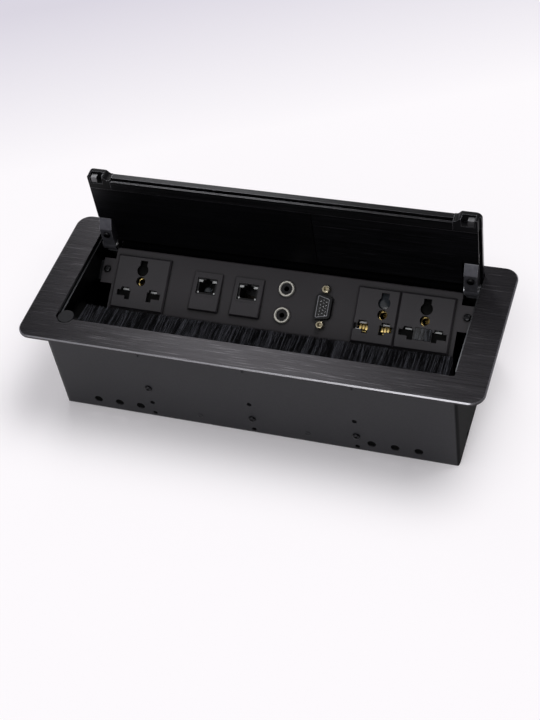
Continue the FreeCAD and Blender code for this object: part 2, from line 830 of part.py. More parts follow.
def make_lamps(place):
    """Light pipes in the corners of a jack's face: two oblong above, two small below."""
    y = bezel_margin + window_place
    z0, z1 = jack_face, jack_face + lamp_proud
    lamps = []
    for side in (-1, 1):
        middle = place + side * (window_width / 2 - lamp_inset - lamp_width / 2)
        high = y + window_height / 2 - lamp_drop
        lamps.append(box(middle - lamp_width / 2, middle + lamp_width / 2, high - lamp_height,
                         high, z0, z1))
        corner = place + side * (window_width / 2 - lamp_inset - lamp_radius)
        low = y - window_height / 2 + lamp_inset + lamp_radius
        lamps.append(prism(polygon(corner, low, lamp_radius, hex_sides), z0, z1))
    return Part.makeCompound([on_panel(lamp) for lamp in lamps])


# Audio jacks

def make_audio_ring(slope):
    """A bright round nut."""
    nut = stud(audio_place, slope, 0, audio_ring_radius, audio_proud, (0, 0, 1), ring_sides)
    bore = stud(audio_place, slope, -over, audio_bush_radius, audio_proud + 2 * over,
                (0, 0, 1), ring_sides)
    return on_panel(nut.cut(bore))


def make_audio_jack(slope):
    """The bush in the nut and the body behind the panel."""
    x = audio_place
    face = audio_proud - audio_sink
    bush = stud(x, slope, -panel_sheet - weld, audio_bush_radius, panel_sheet + weld + face,
                (0, 0, 1), ring_sides)
    body = box(x - audio_body, x + audio_body, slope - audio_body, slope + audio_body,
               -audio_depth, -panel_sheet)
    bore = rod(x, slope, -audio_depth + audio_floor, audio_bore_radius, audio_depth, (0, 0, 1))
    return on_panel(bush.fuse(body).cut(bore))


# Video connector

def video_outline(grow):
    """The connector's D shape, long side up the slope."""
    half = video_width / 2 + grow
    tall = video_height / 2 + grow
    lean = video_width * math.tan(math.radians(video_taper))
    r = video_corner_radius + grow
    x, y = video_place, video_slope
    return [(x - half, y - tall, r), (x + half, y - tall + lean, r),
            (x + half, y + tall - lean, r), (x - half, y + tall, r)]


def make_video_housing():
    """The black D-shaped housing with its flange behind the panel."""
    low = -panel_sheet - video_flange
    x, y = video_place, video_slope
    half, tall = video_flange_width / 2, video_flange_height / 2
    flange = box(x - half, x + half, y - tall, y + tall, low, -panel_sheet)
    housing = prism(video_outline(0), low, video_proud).fuse(flange)
    holes = [stud(x, y + side * video_screw_spacing / 2, low - over, screw_radius,
                  video_flange + 2 * over, (0, 0, 1)) for side in (-1, 1)]
    holes.append(prism(video_outline(-video_wall), low - over, video_proud + over))
    return on_panel(housing.cut(Part.makeCompound(holes)))


def make_video_shell():
    """The drawn metal shell that lines the housing."""
    low, high = -panel_sheet - video_flange, video_proud + video_shell_proud
    shell = prism(video_outline(-video_wall), low, high)
    inside = prism(video_outline(-video_wall - video_shell), low - over, high + over)
    return on_panel(shell.cut(inside))


def make_video_insert():
    """The insert with its holes in three rows, the middle row staggered."""
    insert = prism(video_outline(-video_wall - video_shell), -video_insert_depth,
                   video_insert_face)
    floor = video_insert_face - video_hole_depth
    holes = []
    for row in range(video_rows):
        x = video_place + (row - (video_rows - 1) / 2) * video_row_pitch
        stagger = video_stagger if row % 2 else -video_stagger
        for i in range(video_row_count):
            y = video_slope + (i - (video_row_count - 1) / 2 + stagger) * video_pitch
            holes.append(stud(x, y, floor, video_hole_radius, video_hole_depth + over,
                              (0, 0, 1), hex_sides))
    return on_panel(insert.cut(Part.makeCompound(holes)))


def make_video_pillars():
    """Hexagonal pillars with a threaded hole, one at each end of the connector."""
    grip = panel_sheet + video_flange + screw_tail
    solids = []
    for side in (-1, 1):
        y = video_slope + side * video_screw_spacing / 2
        head = prism(polygon(video_place, y, hex_radius, hex_sides), 0, hex_height)
        shank = stud(video_place, y, -grip, screw_radius, grip + weld, (0, 0, 1))
        bore = rod(video_place, y, hex_height - hex_bore_depth, hex_bore_radius,
                   hex_bore_depth + over, (0, 0, 1))
        solids.append(on_panel(head.fuse(shank).cut(bore)))
    return Part.makeCompound(solids)


# Brush strip

def make_channel():
    """A folded channel inside the front wall, with a tongue for the corner plug."""
    t = channel_sheet
    back = -inner_y
    z1 = tray_top
    z0 = z1 - channel_height
    reach = back + channel_reach
    section = [(back, z1), (reach, z1), (reach, z1 - t), (back + t, z1 - t), (back + t, z0 + t),
               (reach, z0 + t), (reach, z0), (back + t, z0), (back + t, z1 - channel_leg),
               (back, z1 - channel_leg)]
    channel = bar(section, -brush_left, brush_right)
    tongue = box(-plug_place - plug_radius, -brush_left + over, back, -plug_front + plug_radius,
                 z0, z0 + t)
    return channel.fuse(tongue).removeSplitter()


def crimp_box():
    """Front, back, bottom and top of the crimped strip inside the channel."""
    middle = tray_top - channel_height / 2
    y0 = -inner_y + channel_sheet + crimp_gap
    return y0, y0 + crimp_length, middle - crimp_height / 2, middle + crimp_height / 2


def make_crimp():
    """A steel strip folded over the roots of the bristles."""
    y0, y1, z0, z1 = crimp_box()
    t = crimp_sheet
    section = [(y0, z0, soft_round), (y1, z0), (y1, z0 + t), (y0 + t, z0 + t), (y0 + t, z1 - t),
               (y1, z1 - t), (y1, z1), (y0, z1, soft_round)]
    return bar(section, -brush_left + crimp_gap, brush_right - crimp_gap)


def make_bristles():
    """The bristles as one soft strip of tufts that thins and droops a little to its tips."""
    y0, y1, z0, z1 = crimp_box()
    inset = crimp_sheet + bristle_gap
    tip = y1 + brush_length
    half = brush_thickness / 2
    middle = (z0 + z1) / 2
    swell = y1 + brush_swell
    section = [(y0 + inset, z0 + inset), (y1, z0 + inset), (swell, middle - half),
               (tip, middle - half - brush_droop),
               (tip, middle + half - 2 * brush_droop),
               (swell, middle + half), (y1, z1 - inset), (y0 + inset, z1 - inset)]
    start, end = -brush_left + crimp_gap, brush_right - crimp_gap
    strip = bar(section, start, end)
    furrow = prism([(-2 * tuft_gap, tuft_groove), (2 * tuft_gap, tuft_groove), (0, -tuft_groove)],
                   0, 2 * brush_length)
    droop = math.degrees(math.atan(2 * brush_droop / (brush_length - brush_swell)))
    along = FreeCAD.Rotation(Vector(1, 0, 0), 90 - droop).multiply(
        FreeCAD.Rotation(Vector(0, 1, 0), 180))
    furrows = []
    for i in range(1, round((end - start) / tuft_pitch)):
        cut = furrow.copy()
        cut.Placement = FreeCAD.Placement(
            Vector(start + i * tuft_pitch, swell, middle + half), along)
        furrows.append(cut)
    return strip.cut(Part.makeCompound(furrows))


def make_plug():
    """The round plug in the front left corner of the opening."""
    under = top + plug_proud - plug_thickness
    head = rod(-plug_place, -plug_front, under, plug_radius, plug_thickness, (0, 0, 1))
    foot = tray_top - channel_height + channel_sheet
    stem = stud(-plug_place, -plug_front, foot, plug_stem_radius, under - foot + weld,
                (0, 0, 1))
    return head.fuse(stem)


# Cord clips inside the front wall

def clip_places():
    """Column and screw height of each clip."""
    high, low = small_hole_heights[0], small_hole_heights[1]
    return ((-small_hole_column, high), (0, low), (small_hole_column, low))


def make_cord_clips():
    """Folded hooks that the leads are tucked behind."""
    t = channel_sheet
    back = -inner_y
    reach = back + cord_clip_shelf
    clips = []
    for x, z in clip_places():
        z0 = z - cord_clip_drop
        section = [(back, z0), (reach, z0, cord_clip_bend), (reach, z0 + cord_clip_lip),
                   (reach - t, z0 + cord_clip_lip), (reach - t, z0 + t), (back + t, z0 + t),
                   (back + t, z0 + cord_clip_leg), (back, z0 + cord_clip_leg)]
        clip = bar(section, x - cord_clip_width / 2, x + cord_clip_width / 2)
        clips.append(clip.cut(stud(x, back - over, z, screw_radius, t + 2 * over, (0, 1, 0))))
    return Part.makeCompound(clips)


def make_clip_screws():
    """Screws of the clips, with their heads outside the front wall."""
    piece = screw(tray_sheet + channel_sheet)
    return Part.makeCompound([facing(piece, x, -tray_depth / 2, z, (0, 1, 0))
                              for x, z in clip_places()])


# Lid: (depth through the lid, distance from the hinge axis), drawn upright

def lid_bar(corners, x0, x1):
    """A section of the lid carried along X."""
    return bar([(hinge_back + c[0], hinge_z + c[1]) + tuple(c[2:]) for c in corners], x0, x1)


def lid_box(x0, x1, through0, through1, along0, along1):
    """A block in the lid's own directions."""
    return box(x0, x1, hinge_back + through0, hinge_back + through1,
               hinge_z + along0, hinge_z + along1)


def make_lid_panel():
    """The extrusion: skin, rolled back edge, two ribs and a grooved free edge."""
    bar_face = lid_thickness - edge_bar
    lip = bar_face - edge_groove
    groove = lid_reach - edge_groove_depth
    half = rib_width / 2
    section = [(lid_thickness, lid_reach, small_round), (bar_face, lid_reach), (bar_face, groove),
               (lip, groove), (lip, lid_reach - edge_lip_recess), (0, lid_reach - edge_lip_recess),
               (0, edge_start), (lid_inside, edge_start)]
    for place in (rib_place, rear_rib_place):
        section += [(lid_inside, place + half), (liner_sheet, place + half),
                    (liner_sheet, place - half), (lid_inside, place - half)]
    section += [(lid_inside, -lid_inside, lid_inside), (0, -lid_inside), (0, -lid_thickness),
                (lid_thickness, -lid_thickness, lid_thickness)]
    panel = lid_bar(section, -lid_end, lid_end)
    deep = lid_thickness + over
    bay_top = arm_block + arm_ramp + liner_gap
    cuts = []
    for side in (-1, 1):
        end = sorted((side * body_end, side * (lid_end + over)))
        cuts.append(lid_box(*end, -over, lid_inside, -deep, lid_reach + over))
        bay = sorted((side * bay_start, side * (lid_end + over)))
        cuts.append(lid_box(*bay, -over, lid_inside, -deep, bay_top))
        cuts.append(lid_box(*bay, -over, deep, -deep, 0))
        corner = sorted((side * (lid_end - cap_width), side * (lid_end + over)))
        cuts.append(lid_box(*corner, -over, deep, cap_heel, lid_reach + over))
        cuts.append(stud(side * arm_middle, hinge_back + lid_inside - over, arm_screw_z,
                         screw_radius, lid_skin - arm_screw_cover + over, (0, 1, 0)))
    return panel.cut(Part.makeCompound(cuts)).removeSplitter()


def make_cap():
    """The right-hand cast corner of the free edge, with its shoulder and magnet recess."""
    x1 = lid_end
    x0 = x1 - cap_width
    crown = lid_reach + cap_rise
    corners = [(x0, cap_heel), (x1, cap_heel), (x1, crown, cap_corner_radius),
               (x0 + cap_shoulder, crown, cap_shoulder_round),
               (x0 + cap_shoulder_foot, lid_reach, cap_shoulder_round), (x0, lid_reach)]
    cap = prism(corners, 0, lid_thickness)
    cap.Placement = FreeCAD.Placement(Vector(0, hinge_back + lid_thickness, hinge_z),
                                      FreeCAD.Rotation(Vector(1, 0, 0), 90))
    step = lid_box(body_end, x1 + over, -over, lid_inside, cap_heel - over, crown + over)
    outer = x1 - cap_recess_margin
    recess = lid_box(outer - cap_recess_width, outer, -over, lid_inside, crown - cap_recess_depth,
                     crown + over)
    return cap.cut(step).cut(recess)


def make_magnets():
    """A bright keeper block in the recess of each cap."""
    outer = lid_end - cap_recess_margin - magnet_gap
    floor = lid_reach + cap_rise - cap_recess_depth
    block = lid_box(outer - magnet_width, outer, magnet_sink, magnet_sink + magnet_thickness,
                    floor, floor + magnet_height)
    return Part.makeCompound([block, mirrored(block)])


def make_liner(x0, x1):
    """A brushed sheet that closes the inside of the lid, cut back round the arms."""
    low = rear_rib_place - rib_width / 2
    liner = lid_box(x0, x1, 0, liner_sheet, low, edge_start - liner_gap)
    for side in (-1, 1):
        bay = sorted((side * (bay_start - liner_gap), side * (lid_end + over)))
        liner = liner.cut(lid_box(*bay, -over, liner_sheet + over, low - over,
                                  arm_block + arm_ramp + liner_gap))
    return liner


def make_arm():
    """The right-hand cast arm: block, ramp, lug with its boss, and its share of the roll."""
    block = lid_bar([(-arm_proud, 0), (lid_inside, 0), (lid_inside, arm_block + arm_ramp),
                     (0, arm_block + arm_ramp, soft_round), (-arm_proud, arm_block, arm_bend)],
                    arm_inner, arm_outer)
    roll = lid_bar([(0, 0), (0, -lid_thickness), (lid_thickness, -lid_thickness, lid_thickness),
                    (lid_thickness, 0)], arm_inner, arm_outer)
    lug = rod(arm_inner, hinge_back, hinge_z, lug_radius, arm_width + boss_height, (1, 0, 0))
    bore = rod(arm_inner - over, hinge_back, hinge_z, pin_radius + pin_clearance,
               arm_width + boss_height + 2 * over, (1, 0, 0))
    hole = stud(arm_middle, hinge_back - arm_proud - over, arm_screw_z, screw_radius,
                lid_thickness + arm_proud, (0, 1, 0))
    return block.fuse(roll).fuse(lug).cut(bore).cut(hole).removeSplitter()


def make_arm_screws():
    """One screw through each arm into the skin."""
    piece = screw(arm_proud + lid_thickness - arm_screw_cover - screw_tail)
    return Part.makeCompound([
        facing(piece, side * arm_middle, hinge_back - arm_proud, arm_screw_z, (0, 1, 0))
        for side in (-1, 1)])


def make_pins():
    """The hinge pins, each with its head outside the bracket."""
    inner = arm_inner - clip_thickness - 2 * clip_gap
    shank = rod(inner, hinge_back, hinge_z, pin_radius, bracket_outer - inner, (1, 0, 0))
    head = stud(bracket_outer, hinge_back, hinge_z, pin_head_radius, pin_head, (1, 0, 0),
                head_sides)
    pin = shank.fuse(head)
    return Part.makeCompound([pin, mirrored(pin)])


def make_pin_clips():
    """A spring clip on the inner end of each pin."""
    start = arm_inner - clip_thickness - clip_gap
    disc = stud(start, hinge_back, hinge_z, clip_radius, clip_thickness, (1, 0, 0), head_sides)
    bore = rod(start - over, hinge_back, hinge_z, pin_radius, clip_thickness + 2 * over, (1, 0, 0))
    mouth = box(start - over, start + clip_thickness + over, hinge_back - clip_mouth / 2,
                hinge_back + clip_mouth / 2, hinge_z - clip_radius - over, hinge_z)
    clip = disc.cut(bore).cut(mouth)
    return Part.makeCompound([clip, mirrored(clip)])


# Every piece under the name of its node

parts["tray"] = make_tray()
parts["cable_bushings"] = Part.makeCompound([
    make_entry(mains_entry_place, mains_entry_radii),
    make_entry(data_entry_place, data_entry_radii)])
parts["trim_plate"] = make_trim()
parts["bracket_right"] = make_bracket()
parts["bracket_left"] = mirrored(parts["bracket_right"])
parts["socket_panel"] = make_panel()
parts["panel_screws"] = make_panel_screws()
for name, place, width, pitch, shift, window, shuttered in sockets:
    parts["socket_cover_" + name] = make_cover(place, width, pitch, shift, window)
    parts["socket_base_" + name] = make_base(place, width, pitch, shift)
    parts["socket_contacts_" + name] = make_contacts(place, width, pitch, shift)
    if shuttered:
        parts["socket_shutter_" + name] = make_shutter(place, width, shift)
for name, place in zip(("left", "right"), bezel_places):
    parts["network_bezel_" + name] = make_bezel(place)
    parts["network_jack_" + name] = make_jack(place)
    parts["network_pins_" + name] = make_jack_pins(place)
    parts["network_lamps_" + name] = make_lamps(place)
for name, slope in zip(("upper", "lower"), audio_slopes):
    parts["audio_ring_" + name] = make_audio_ring(slope)
    parts["audio_jack_" + name] = make_audio_jack(slope)
parts["video_housing"] = make_video_housing()
parts["video_shell"] = make_video_shell()
parts["video_insert"] = make_video_insert()
parts["video_pillars"] = make_video_pillars()
parts["brush_channel"] = make_channel()
parts["brush_crimp"] = make_crimp()
parts["brush_bristles"] = make_bristles()
parts["corner_plug"] = make_plug()
parts["cord_clips"] = make_cord_clips()
parts["clip_screws"] = make_clip_screws()
parts["lid_panel"] = make_lid_panel()
parts["lid_liner_left"] = make_liner(-body_end, liner_seam - liner_seam_gap / 2)
parts["lid_liner_right"] = make_liner(liner_seam + liner_seam_gap / 2, body_end)
parts["lid_cap_right"] = make_cap()
parts["lid_cap_left"] = mirrored(parts["lid_cap_right"])
parts["lid_magnets"] = make_magnets()
parts["hinge_arm_right"] = make_arm()
parts["hinge_arm_left"] = mirrored(parts["hinge_arm_right"])
parts["arm_screws"] = make_arm_screws()
parts["hinge_pins"] = make_pins()
parts["pin_clips"] = make_pin_clips()

os.makedirs("parts", exist_ok=True)
for name, shape in parts.items():
    if not shape.isValid() or not shape.Solids:
        print("check", name, "valid", shape.isValid(), "solids", len(shape.Solids))
    shape.exportStep("parts/" + name + ".step")
print(len(parts), "nodes,", sum(len(s.Solids) for s in parts.values()), "solids")
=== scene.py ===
import math
import random

import bpy
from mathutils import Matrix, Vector


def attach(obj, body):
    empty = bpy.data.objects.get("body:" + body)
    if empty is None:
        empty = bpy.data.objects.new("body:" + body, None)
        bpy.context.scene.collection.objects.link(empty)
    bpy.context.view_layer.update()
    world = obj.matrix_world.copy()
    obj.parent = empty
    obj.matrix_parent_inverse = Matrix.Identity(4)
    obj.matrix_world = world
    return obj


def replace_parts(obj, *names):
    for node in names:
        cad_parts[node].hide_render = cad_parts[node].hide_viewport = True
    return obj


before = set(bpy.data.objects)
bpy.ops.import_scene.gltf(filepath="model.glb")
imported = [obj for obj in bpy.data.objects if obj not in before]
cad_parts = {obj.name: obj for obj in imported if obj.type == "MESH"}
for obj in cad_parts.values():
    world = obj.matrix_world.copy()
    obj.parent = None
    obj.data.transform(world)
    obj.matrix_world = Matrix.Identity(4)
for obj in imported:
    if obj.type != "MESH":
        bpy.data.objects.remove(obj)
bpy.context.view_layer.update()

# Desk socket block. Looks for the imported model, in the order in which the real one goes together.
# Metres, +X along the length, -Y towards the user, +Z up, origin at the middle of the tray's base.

mm = 0.001


# Tray. A pressed box of 1.2 mm steel sheet with an outward lip, sprayed with a fine black powder
# coat, which is matt, slightly blue and faintly pebbled under a soft light.

def linear(code):
    """A colour written as sRGB hex, for a shader's socket."""
    parts = [int(code[i:i + 2], 16) / 255 for i in (1, 3, 5)]
    return [p / 12.92 if p <= 0.04045 else ((p + 0.055) / 1.055) ** 2.4 for p in parts] + [1]


def finish_of(name, **sockets):
    """A new material and its shader, with the constant sockets set."""
    material = bpy.data.materials.new(name)
    material.use_nodes = True
    shader = material.node_tree.nodes["Principled BSDF"]
    for socket, value in sockets.items():
        shader.inputs[socket.replace("_", " ")].default_value = value
    return material, shader


def add(material, kind, inputs=None, **settings):
    """One node with its settings, values and links."""
    made = material.node_tree.nodes.new(kind)
    for name, value in settings.items():
        setattr(made, name, value)
    for name, value in (inputs or {}).items():
        if isinstance(value, bpy.types.NodeSocket):
            material.node_tree.links.new(value, made.inputs[name])
        else:
            made.inputs[name].default_value = value
    return made


def feed(material, output, socket):
    """Link a node's output to a socket that already has a value."""
    material.node_tree.links.new(output, socket)


def dress(material, *names):
    """Give CAD nodes a finish."""
    for name in names:
        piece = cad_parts[name]
        if not piece.material_slots:
            piece.data.materials.append(None)
        for place in piece.material_slots:
            place.link = "OBJECT"
            place.material = material


coat_grain = 0.9 * mm         # real pebbling is about 0.3 mm, which is too fine to show here
coat_drift = 55.5 * mm        # the coat's thickness drifts over about this distance
inner_face, outer_face = 52.4 * mm, 53.1 * mm      # both within the sheet of the long walls
base_face = 0.6 * mm          # within the sheet of the base
powder_coat, shader = finish_of("powder_coated_steel", Specular_IOR_Level=0.34)
place = add(powder_coat, "ShaderNodeTexCoord").outputs["Object"]
spot = add(powder_coat, "ShaderNodeSeparateXYZ", {"Vector": place})
depth = add(powder_coat, "ShaderNodeMath", {0: spot.outputs["Y"]}, operation="ABSOLUTE")
outside = add(powder_coat, "ShaderNodeMapRange", {"Value": depth.outputs["Value"],
                                                  "From Min": inner_face, "From Max": outer_face})
under = add(powder_coat, "ShaderNodeMath", {0: spot.outputs["Z"], 1: base_face},
            operation="LESS_THAN")
outside_unshaded = add(powder_coat, "ShaderNodeMath", {0: outside.outputs["Result"],
                                              1: under.outputs["Value"]}, operation="MAXIMUM")
pebbles = add(powder_coat, "ShaderNodeTexNoise", {"Vector": place, "Scale": 1 / coat_grain,
                                                  "Detail": 3.0, "Roughness": 0.6})
clouds = add(powder_coat, "ShaderNodeTexNoise", {"Vector": place, "Scale": 1 / coat_drift,
                                                 "Detail": 2.0})
tone = add(powder_coat, "ShaderNodeMixRGB", {"Fac": clouds.outputs["Fac"],
                                             "Color1": linear("#1c1c20"),
                                             "Color2": linear("#242428")})
speck = add(powder_coat, "ShaderNodeValToRGB", {"Fac": pebbles.outputs["Fac"]})
for stop, position, level in zip(speck.color_ramp.elements, (0.35, 0.7), (0.8, 1.15)):
    stop.position = position
    stop.color = (level, level, level, 1)
coloured = add(powder_coat, "ShaderNodeMixRGB", {"Fac": 1.0, "Color1": tone.outputs["Color"],
                                                 "Color2": speck.outputs["Color"]},
               blend_type="MULTIPLY")
bumps = add(powder_coat, "ShaderNodeBump", {"Height": pebbles.outputs["Fac"], "Strength": 0.22,
                                            "Distance": 0.05 * mm})
# Inside the tray the colour is painted nearly black and the coat made dead matt, as painted shade
# inside the box. The test for it goes by depth alone, so the end walls, which lie between the long
# ones, get that painted shade on both sides.
inside_painted_shade = add(powder_coat, "ShaderNodeMixRGB", {"Fac": outside_unshaded.outputs["Value"],
                                               "Color1": linear("#060607"),
                                               "Color2": coloured.outputs["Color"]})
matt = add(powder_coat, "ShaderNodeMapRange", {"Value": outside_unshaded.outputs["Value"], "To Min": 1.0,
                                               "To Max": 0.5})
feed(powder_coat, matt.outputs["Result"], shader.inputs["Roughness"])
feed(powder_coat, inside_painted_shade.outputs["Color"], shader.inputs["Base Color"])
feed(powder_coat, bumps.outputs["Normal"], shader.inputs["Normal"])
dress(powder_coat, "tray", "cord_clips", "brush_channel")


# Rivet ends on the front wall. Two rivets low on the wall and three small ones high up, pressed
# nearly flush before the coat is sprayed on, so that they show only as faint rings.

def mesh_piece(name, points, faces, material, body, smooth=True):
    """A new piece of the object: its mesh, finish and CAD body."""
    mesh = bpy.data.meshes.new(name)
    mesh.from_pydata(points, [], faces)
    mesh.validate()
    mesh.update()
    piece = bpy.data.objects.new(name, mesh)
    bpy.context.scene.collection.objects.link(piece)
    mesh.materials.append(material)
    mesh.polygons.foreach_set("use_smooth", [smooth] * len(mesh.polygons))
    if smooth:
        mesh.set_sharp_from_angle(angle=math.radians(35))
    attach(piece, body)
    return piece


def loft(points, faces, rings, ends=(True, True)):
    """Join rings of equally many points by faces, and close the ends that are asked for."""
    start = len(points)
    count = len(rings[0])
    for ring in rings:
        points.extend(ring)
    for i in range(len(rings) - 1):
        a = start + i * count
        for j in range(count):
            k = (j + 1) % count
            faces.append((a + j, a + k, a + count + k, a + count + j))
    if ends[0]:
        faces.append(tuple(range(start + count - 1, start - 1, -1)))
    if ends[1]:
        last = start + (len(rings) - 1) * count
        faces.append(tuple(range(last, last + count)))


def turned(points, faces, profile, origin, axis, sides, ends=(True, True)):
    """Turn a profile of (radius, height) in millimetres about an axis through the origin."""
    z = Vector(axis).normalized()
    x = z.orthogonal().normalized()
    y = z.cross(x)
    rings = []
    for radius, height in profile:
        rings.append([Vector(origin) + z * (height * mm)
                      + (x * math.cos(2 * math.pi * j / sides)
                         + y * math.sin(2 * math.pi * j / sides)) * (radius * mm)
                      for j in range(sides)])
    loft(points, faces, rings, ends)


wall = -53.5 * mm             # outer face of the front wall; the back wall's is opposite
low_rivets = [(x, 10, 2.0) for x in (-38.6, 38.6)]         # along X, height and radius, in mm
high_rivets = [(x, 64, 0.8) for x in (-74, 0, 74)]
points, faces = [], []
for x, z, radius in low_rivets + high_rivets:
    turned(points, faces, [(radius, -0.3), (radius, 0.18), (radius * 0.82, 0.34),
                           (radius * 0.6, 0.02)], (x * mm, wall, z * mm), (0, -1, 0), 24)
mesh_piece("front_rivets", points, faces, powder_coat, "housing")


# Cable bushings. Two snap-in rings that guard the leads in the back wall, moulded in black rubber,
# which is matt and shows moulding dust.

def mottled(name, dark, light, patch, detail, **sockets):
    """A finish that varies between two tones, over patches of this size in millimetres."""
    material, shader = finish_of(name, **sockets)
    place = add(material, "ShaderNodeTexCoord").outputs["Object"]
    drift = add(material, "ShaderNodeTexNoise", {"Vector": place, "Scale": 1 / (patch * mm),
                                                 "Detail": detail})
    tone = add(material, "ShaderNodeMixRGB", {"Fac": drift.outputs["Fac"],
                                              "Color1": linear(dark), "Color2": linear(light)})
    feed(material, tone.outputs["Color"], shader.inputs["Base Color"])
    return material


rubber = mottled("moulded_rubber", "#1c1c1d", "#2b2b2c", 1.67, 4.0, Roughness=0.75, IOR=1.52)
entry_height = 30
points, faces = [], []
for x, head, neck, bore in ((60, 8.0, 6.2, 3.8), (-60, 11.0, 9.0, 6.5)):   # mains, then data
    profile = [(neck, -5.0), (neck, 0.0), (head, 0.0), (head, 1.8), (head - 0.9, 2.8),
               (head - 1.8, 3.0), (bore + 0.6, 3.0), (bore, 2.4), (bore, -4.6), (bore + 0.4, -5.0),
               (neck, -5.0)]
    turned(points, faces, profile, (x * mm, -wall, entry_height * mm), (0, 1, 0), 48,
           (False, False))
bushings = mesh_piece("bushings", points, faces, rubber, "housing")
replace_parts(bushings, "cable_bushings")


# Trim plate. 2 mm aluminium plate, brushed along its length, black anodised, and then cut with
# a bright chamfer all round. The brushing draws highlights out into streaks along X.

# Length and width of the fine marks, the broad bands and the single scratches, and the detail and
# crumble of each. Real brush marks are about 0.1 mm wide, which is too fine to show here.
brush_marks = ((70 * mm, 0.24 * mm, 5.0, 0.7),
               (71.4 * mm, 2.38 * mm, 3.0, 0.5),
               (27.8 * mm, 0.476 * mm, 2.0, 0.5))


def brushed(name, dark, light, scratch, rough):
    """Black anodised aluminium brushed along X: material, shader, place, colour, roughness."""
    metal, shader = finish_of("brushed_anodised_" + name, Metallic=0.75)
    place = add(metal, "ShaderNodeTexCoord")
    streaks = []
    for length, width, detail, crumble in brush_marks:
        drawn = add(metal, "ShaderNodeMapping", {"Vector": place.outputs["Object"],
                                                 "Scale": (1 / length, 1 / width, 1 / width)})
        streaks.append(add(metal, "ShaderNodeTexNoise",
                           {"Vector": drawn.outputs["Vector"], "Scale": 1.0, "Detail": detail,
                            "Roughness": crumble}).outputs["Fac"])
    marks, bands, hairs = streaks
    mixed = add(metal, "ShaderNodeMath", {0: marks, 1: bands}, operation="MULTIPLY")
    tone = add(metal, "ShaderNodeMapRange", {"Value": mixed.outputs["Value"], "From Min": 0.16,
                                             "From Max": 0.5})
    black = add(metal, "ShaderNodeMixRGB", {"Fac": tone.outputs["Result"], "Color1": linear(dark),
                                            "Color2": linear(light)})
    hair = add(metal, "ShaderNodeMapRange", {"Value": hairs, "From Min": 0.62, "From Max": 0.8})
    scratched = add(metal, "ShaderNodeMixRGB", {"Fac": hair.outputs["Result"],
                                                "Color1": black.outputs["Color"],
                                                "Color2": linear(scratch)})
    ground = add(metal, "ShaderNodeMapRange", {"Value": marks, "From Min": 0.3, "From Max": 0.7,
                                               "To Min": rough - 0.03, "To Max": rough + 0.07})
    lines = add(metal, "ShaderNodeBump", {"Height": marks, "Strength": 0.24,
                                          "Distance": 0.03 * mm})
    feed(metal, lines.outputs["Normal"], shader.inputs["Normal"])
    feed(metal, scratched.outputs["Color"], shader.inputs["Base Color"])
    feed(metal, ground.outputs["Result"], shader.inputs["Roughness"])
    return metal, shader, place, scratched.outputs["Color"], ground.outputs["Result"]


trim_metal, shader, place, black, _ = brushed("trim", "#252326", "#313033", "#68666a", 0.26)
facing = add(trim_metal, "ShaderNodeSeparateXYZ", {"Vector": place.outputs["Normal"]})
chamfer = add(trim_metal, "ShaderNodeMath", {0: facing.outputs["Z"], 1: 0.70, 2: 0.12},
              operation="COMPARE")
cut = add(trim_metal, "ShaderNodeMixRGB", {"Fac": chamfer.outputs["Value"], "Color1": black,
                                           "Color2": linear("#8d8c90")})
feed(trim_metal, cut.outputs["Color"], shader.inputs["Base Color"])
dress(trim_metal, "trim_plate")


# End brackets. Folded steel, blackened, with the uncoated edge of the sheet along the top, where
# the closed lid rests on it, painted bright and brightest towards the user as a painted highlight.

bright_front, dull_back = -20 * mm, 20 * mm        # the top's painted highlight is brightest towards the user
bracket_steel, shader = finish_of("blackened_steel", Metallic=1.0)
place = add(bracket_steel, "ShaderNodeTexCoord")
facing = add(bracket_steel, "ShaderNodeSeparateXYZ", {"Vector": place.outputs["Normal"]})
top = add(bracket_steel, "ShaderNodeMath", {0: facing.outputs["Z"], 1: 0.6},
          operation="GREATER_THAN")
along = add(bracket_steel, "ShaderNodeSeparateXYZ", {"Vector": place.outputs["Object"]})
front = add(bracket_steel, "ShaderNodeMapRange", {"Value": along.outputs["Y"],
                                                  "From Min": dull_back,
                                                  "From Max": bright_front,
                                                  "To Min": 0.25})
# Painted highlight: the faces that point up are painted bright, most of all towards the user.
edge = add(bracket_steel, "ShaderNodeMath", {0: top.outputs["Value"], 1: front.outputs["Result"]},
           operation="MULTIPLY")
rolled = add(bracket_steel, "ShaderNodeTexNoise", {"Vector": place.outputs["Object"],
                                                   "Scale": 1 / (3.85 * mm), "Detail": 4.0})
skin = add(bracket_steel, "ShaderNodeMixRGB", {"Fac": rolled.outputs["Fac"],
                                               "Color1": linear("#0f0f10"),
                                               "Color2": linear("#1c1c1e")})
edge_highlight = add(bracket_steel, "ShaderNodeMixRGB", {"Fac": edge.outputs["Value"],
                                               "Color1": skin.outputs["Color"],
                                               "Color2": linear("#626366")})
worn = add(bracket_steel, "ShaderNodeMapRange", {"Value": rolled.outputs["Fac"], "To Min": 0.3,
                                                 "To Max": 0.5})
feed(bracket_steel, edge_highlight.outputs["Color"], shader.inputs["Base Color"])
feed(bracket_steel, worn.outputs["Result"], shader.inputs["Roughness"])
dress(bracket_steel, "bracket_left", "bracket_right")


# Socket panel. One folded steel sheet, painted matt black, finer than the tray's coat, with painted
# shade in the seams round everything that is let into it.

def painted_seam_shade(material, colour, reach, least):
    """The colour with painted shade: darker where another face stands within reach, as in the seams
    between parts.
    """
    shut = add(material, "ShaderNodeAmbientOcclusion", {"Distance": reach}, samples=6)
    dim = add(material, "ShaderNodeMapRange", {"Value": shut.outputs["AO"], "From Min": 0.58,
                                               "From Max": 0.93, "To Min": least})
    return add(material, "ShaderNodeMixRGB", {"Fac": 1.0, "Color1": colour,
                                              "Color2": dim.outputs["Result"]},
               blend_type="MULTIPLY").outputs["Color"]


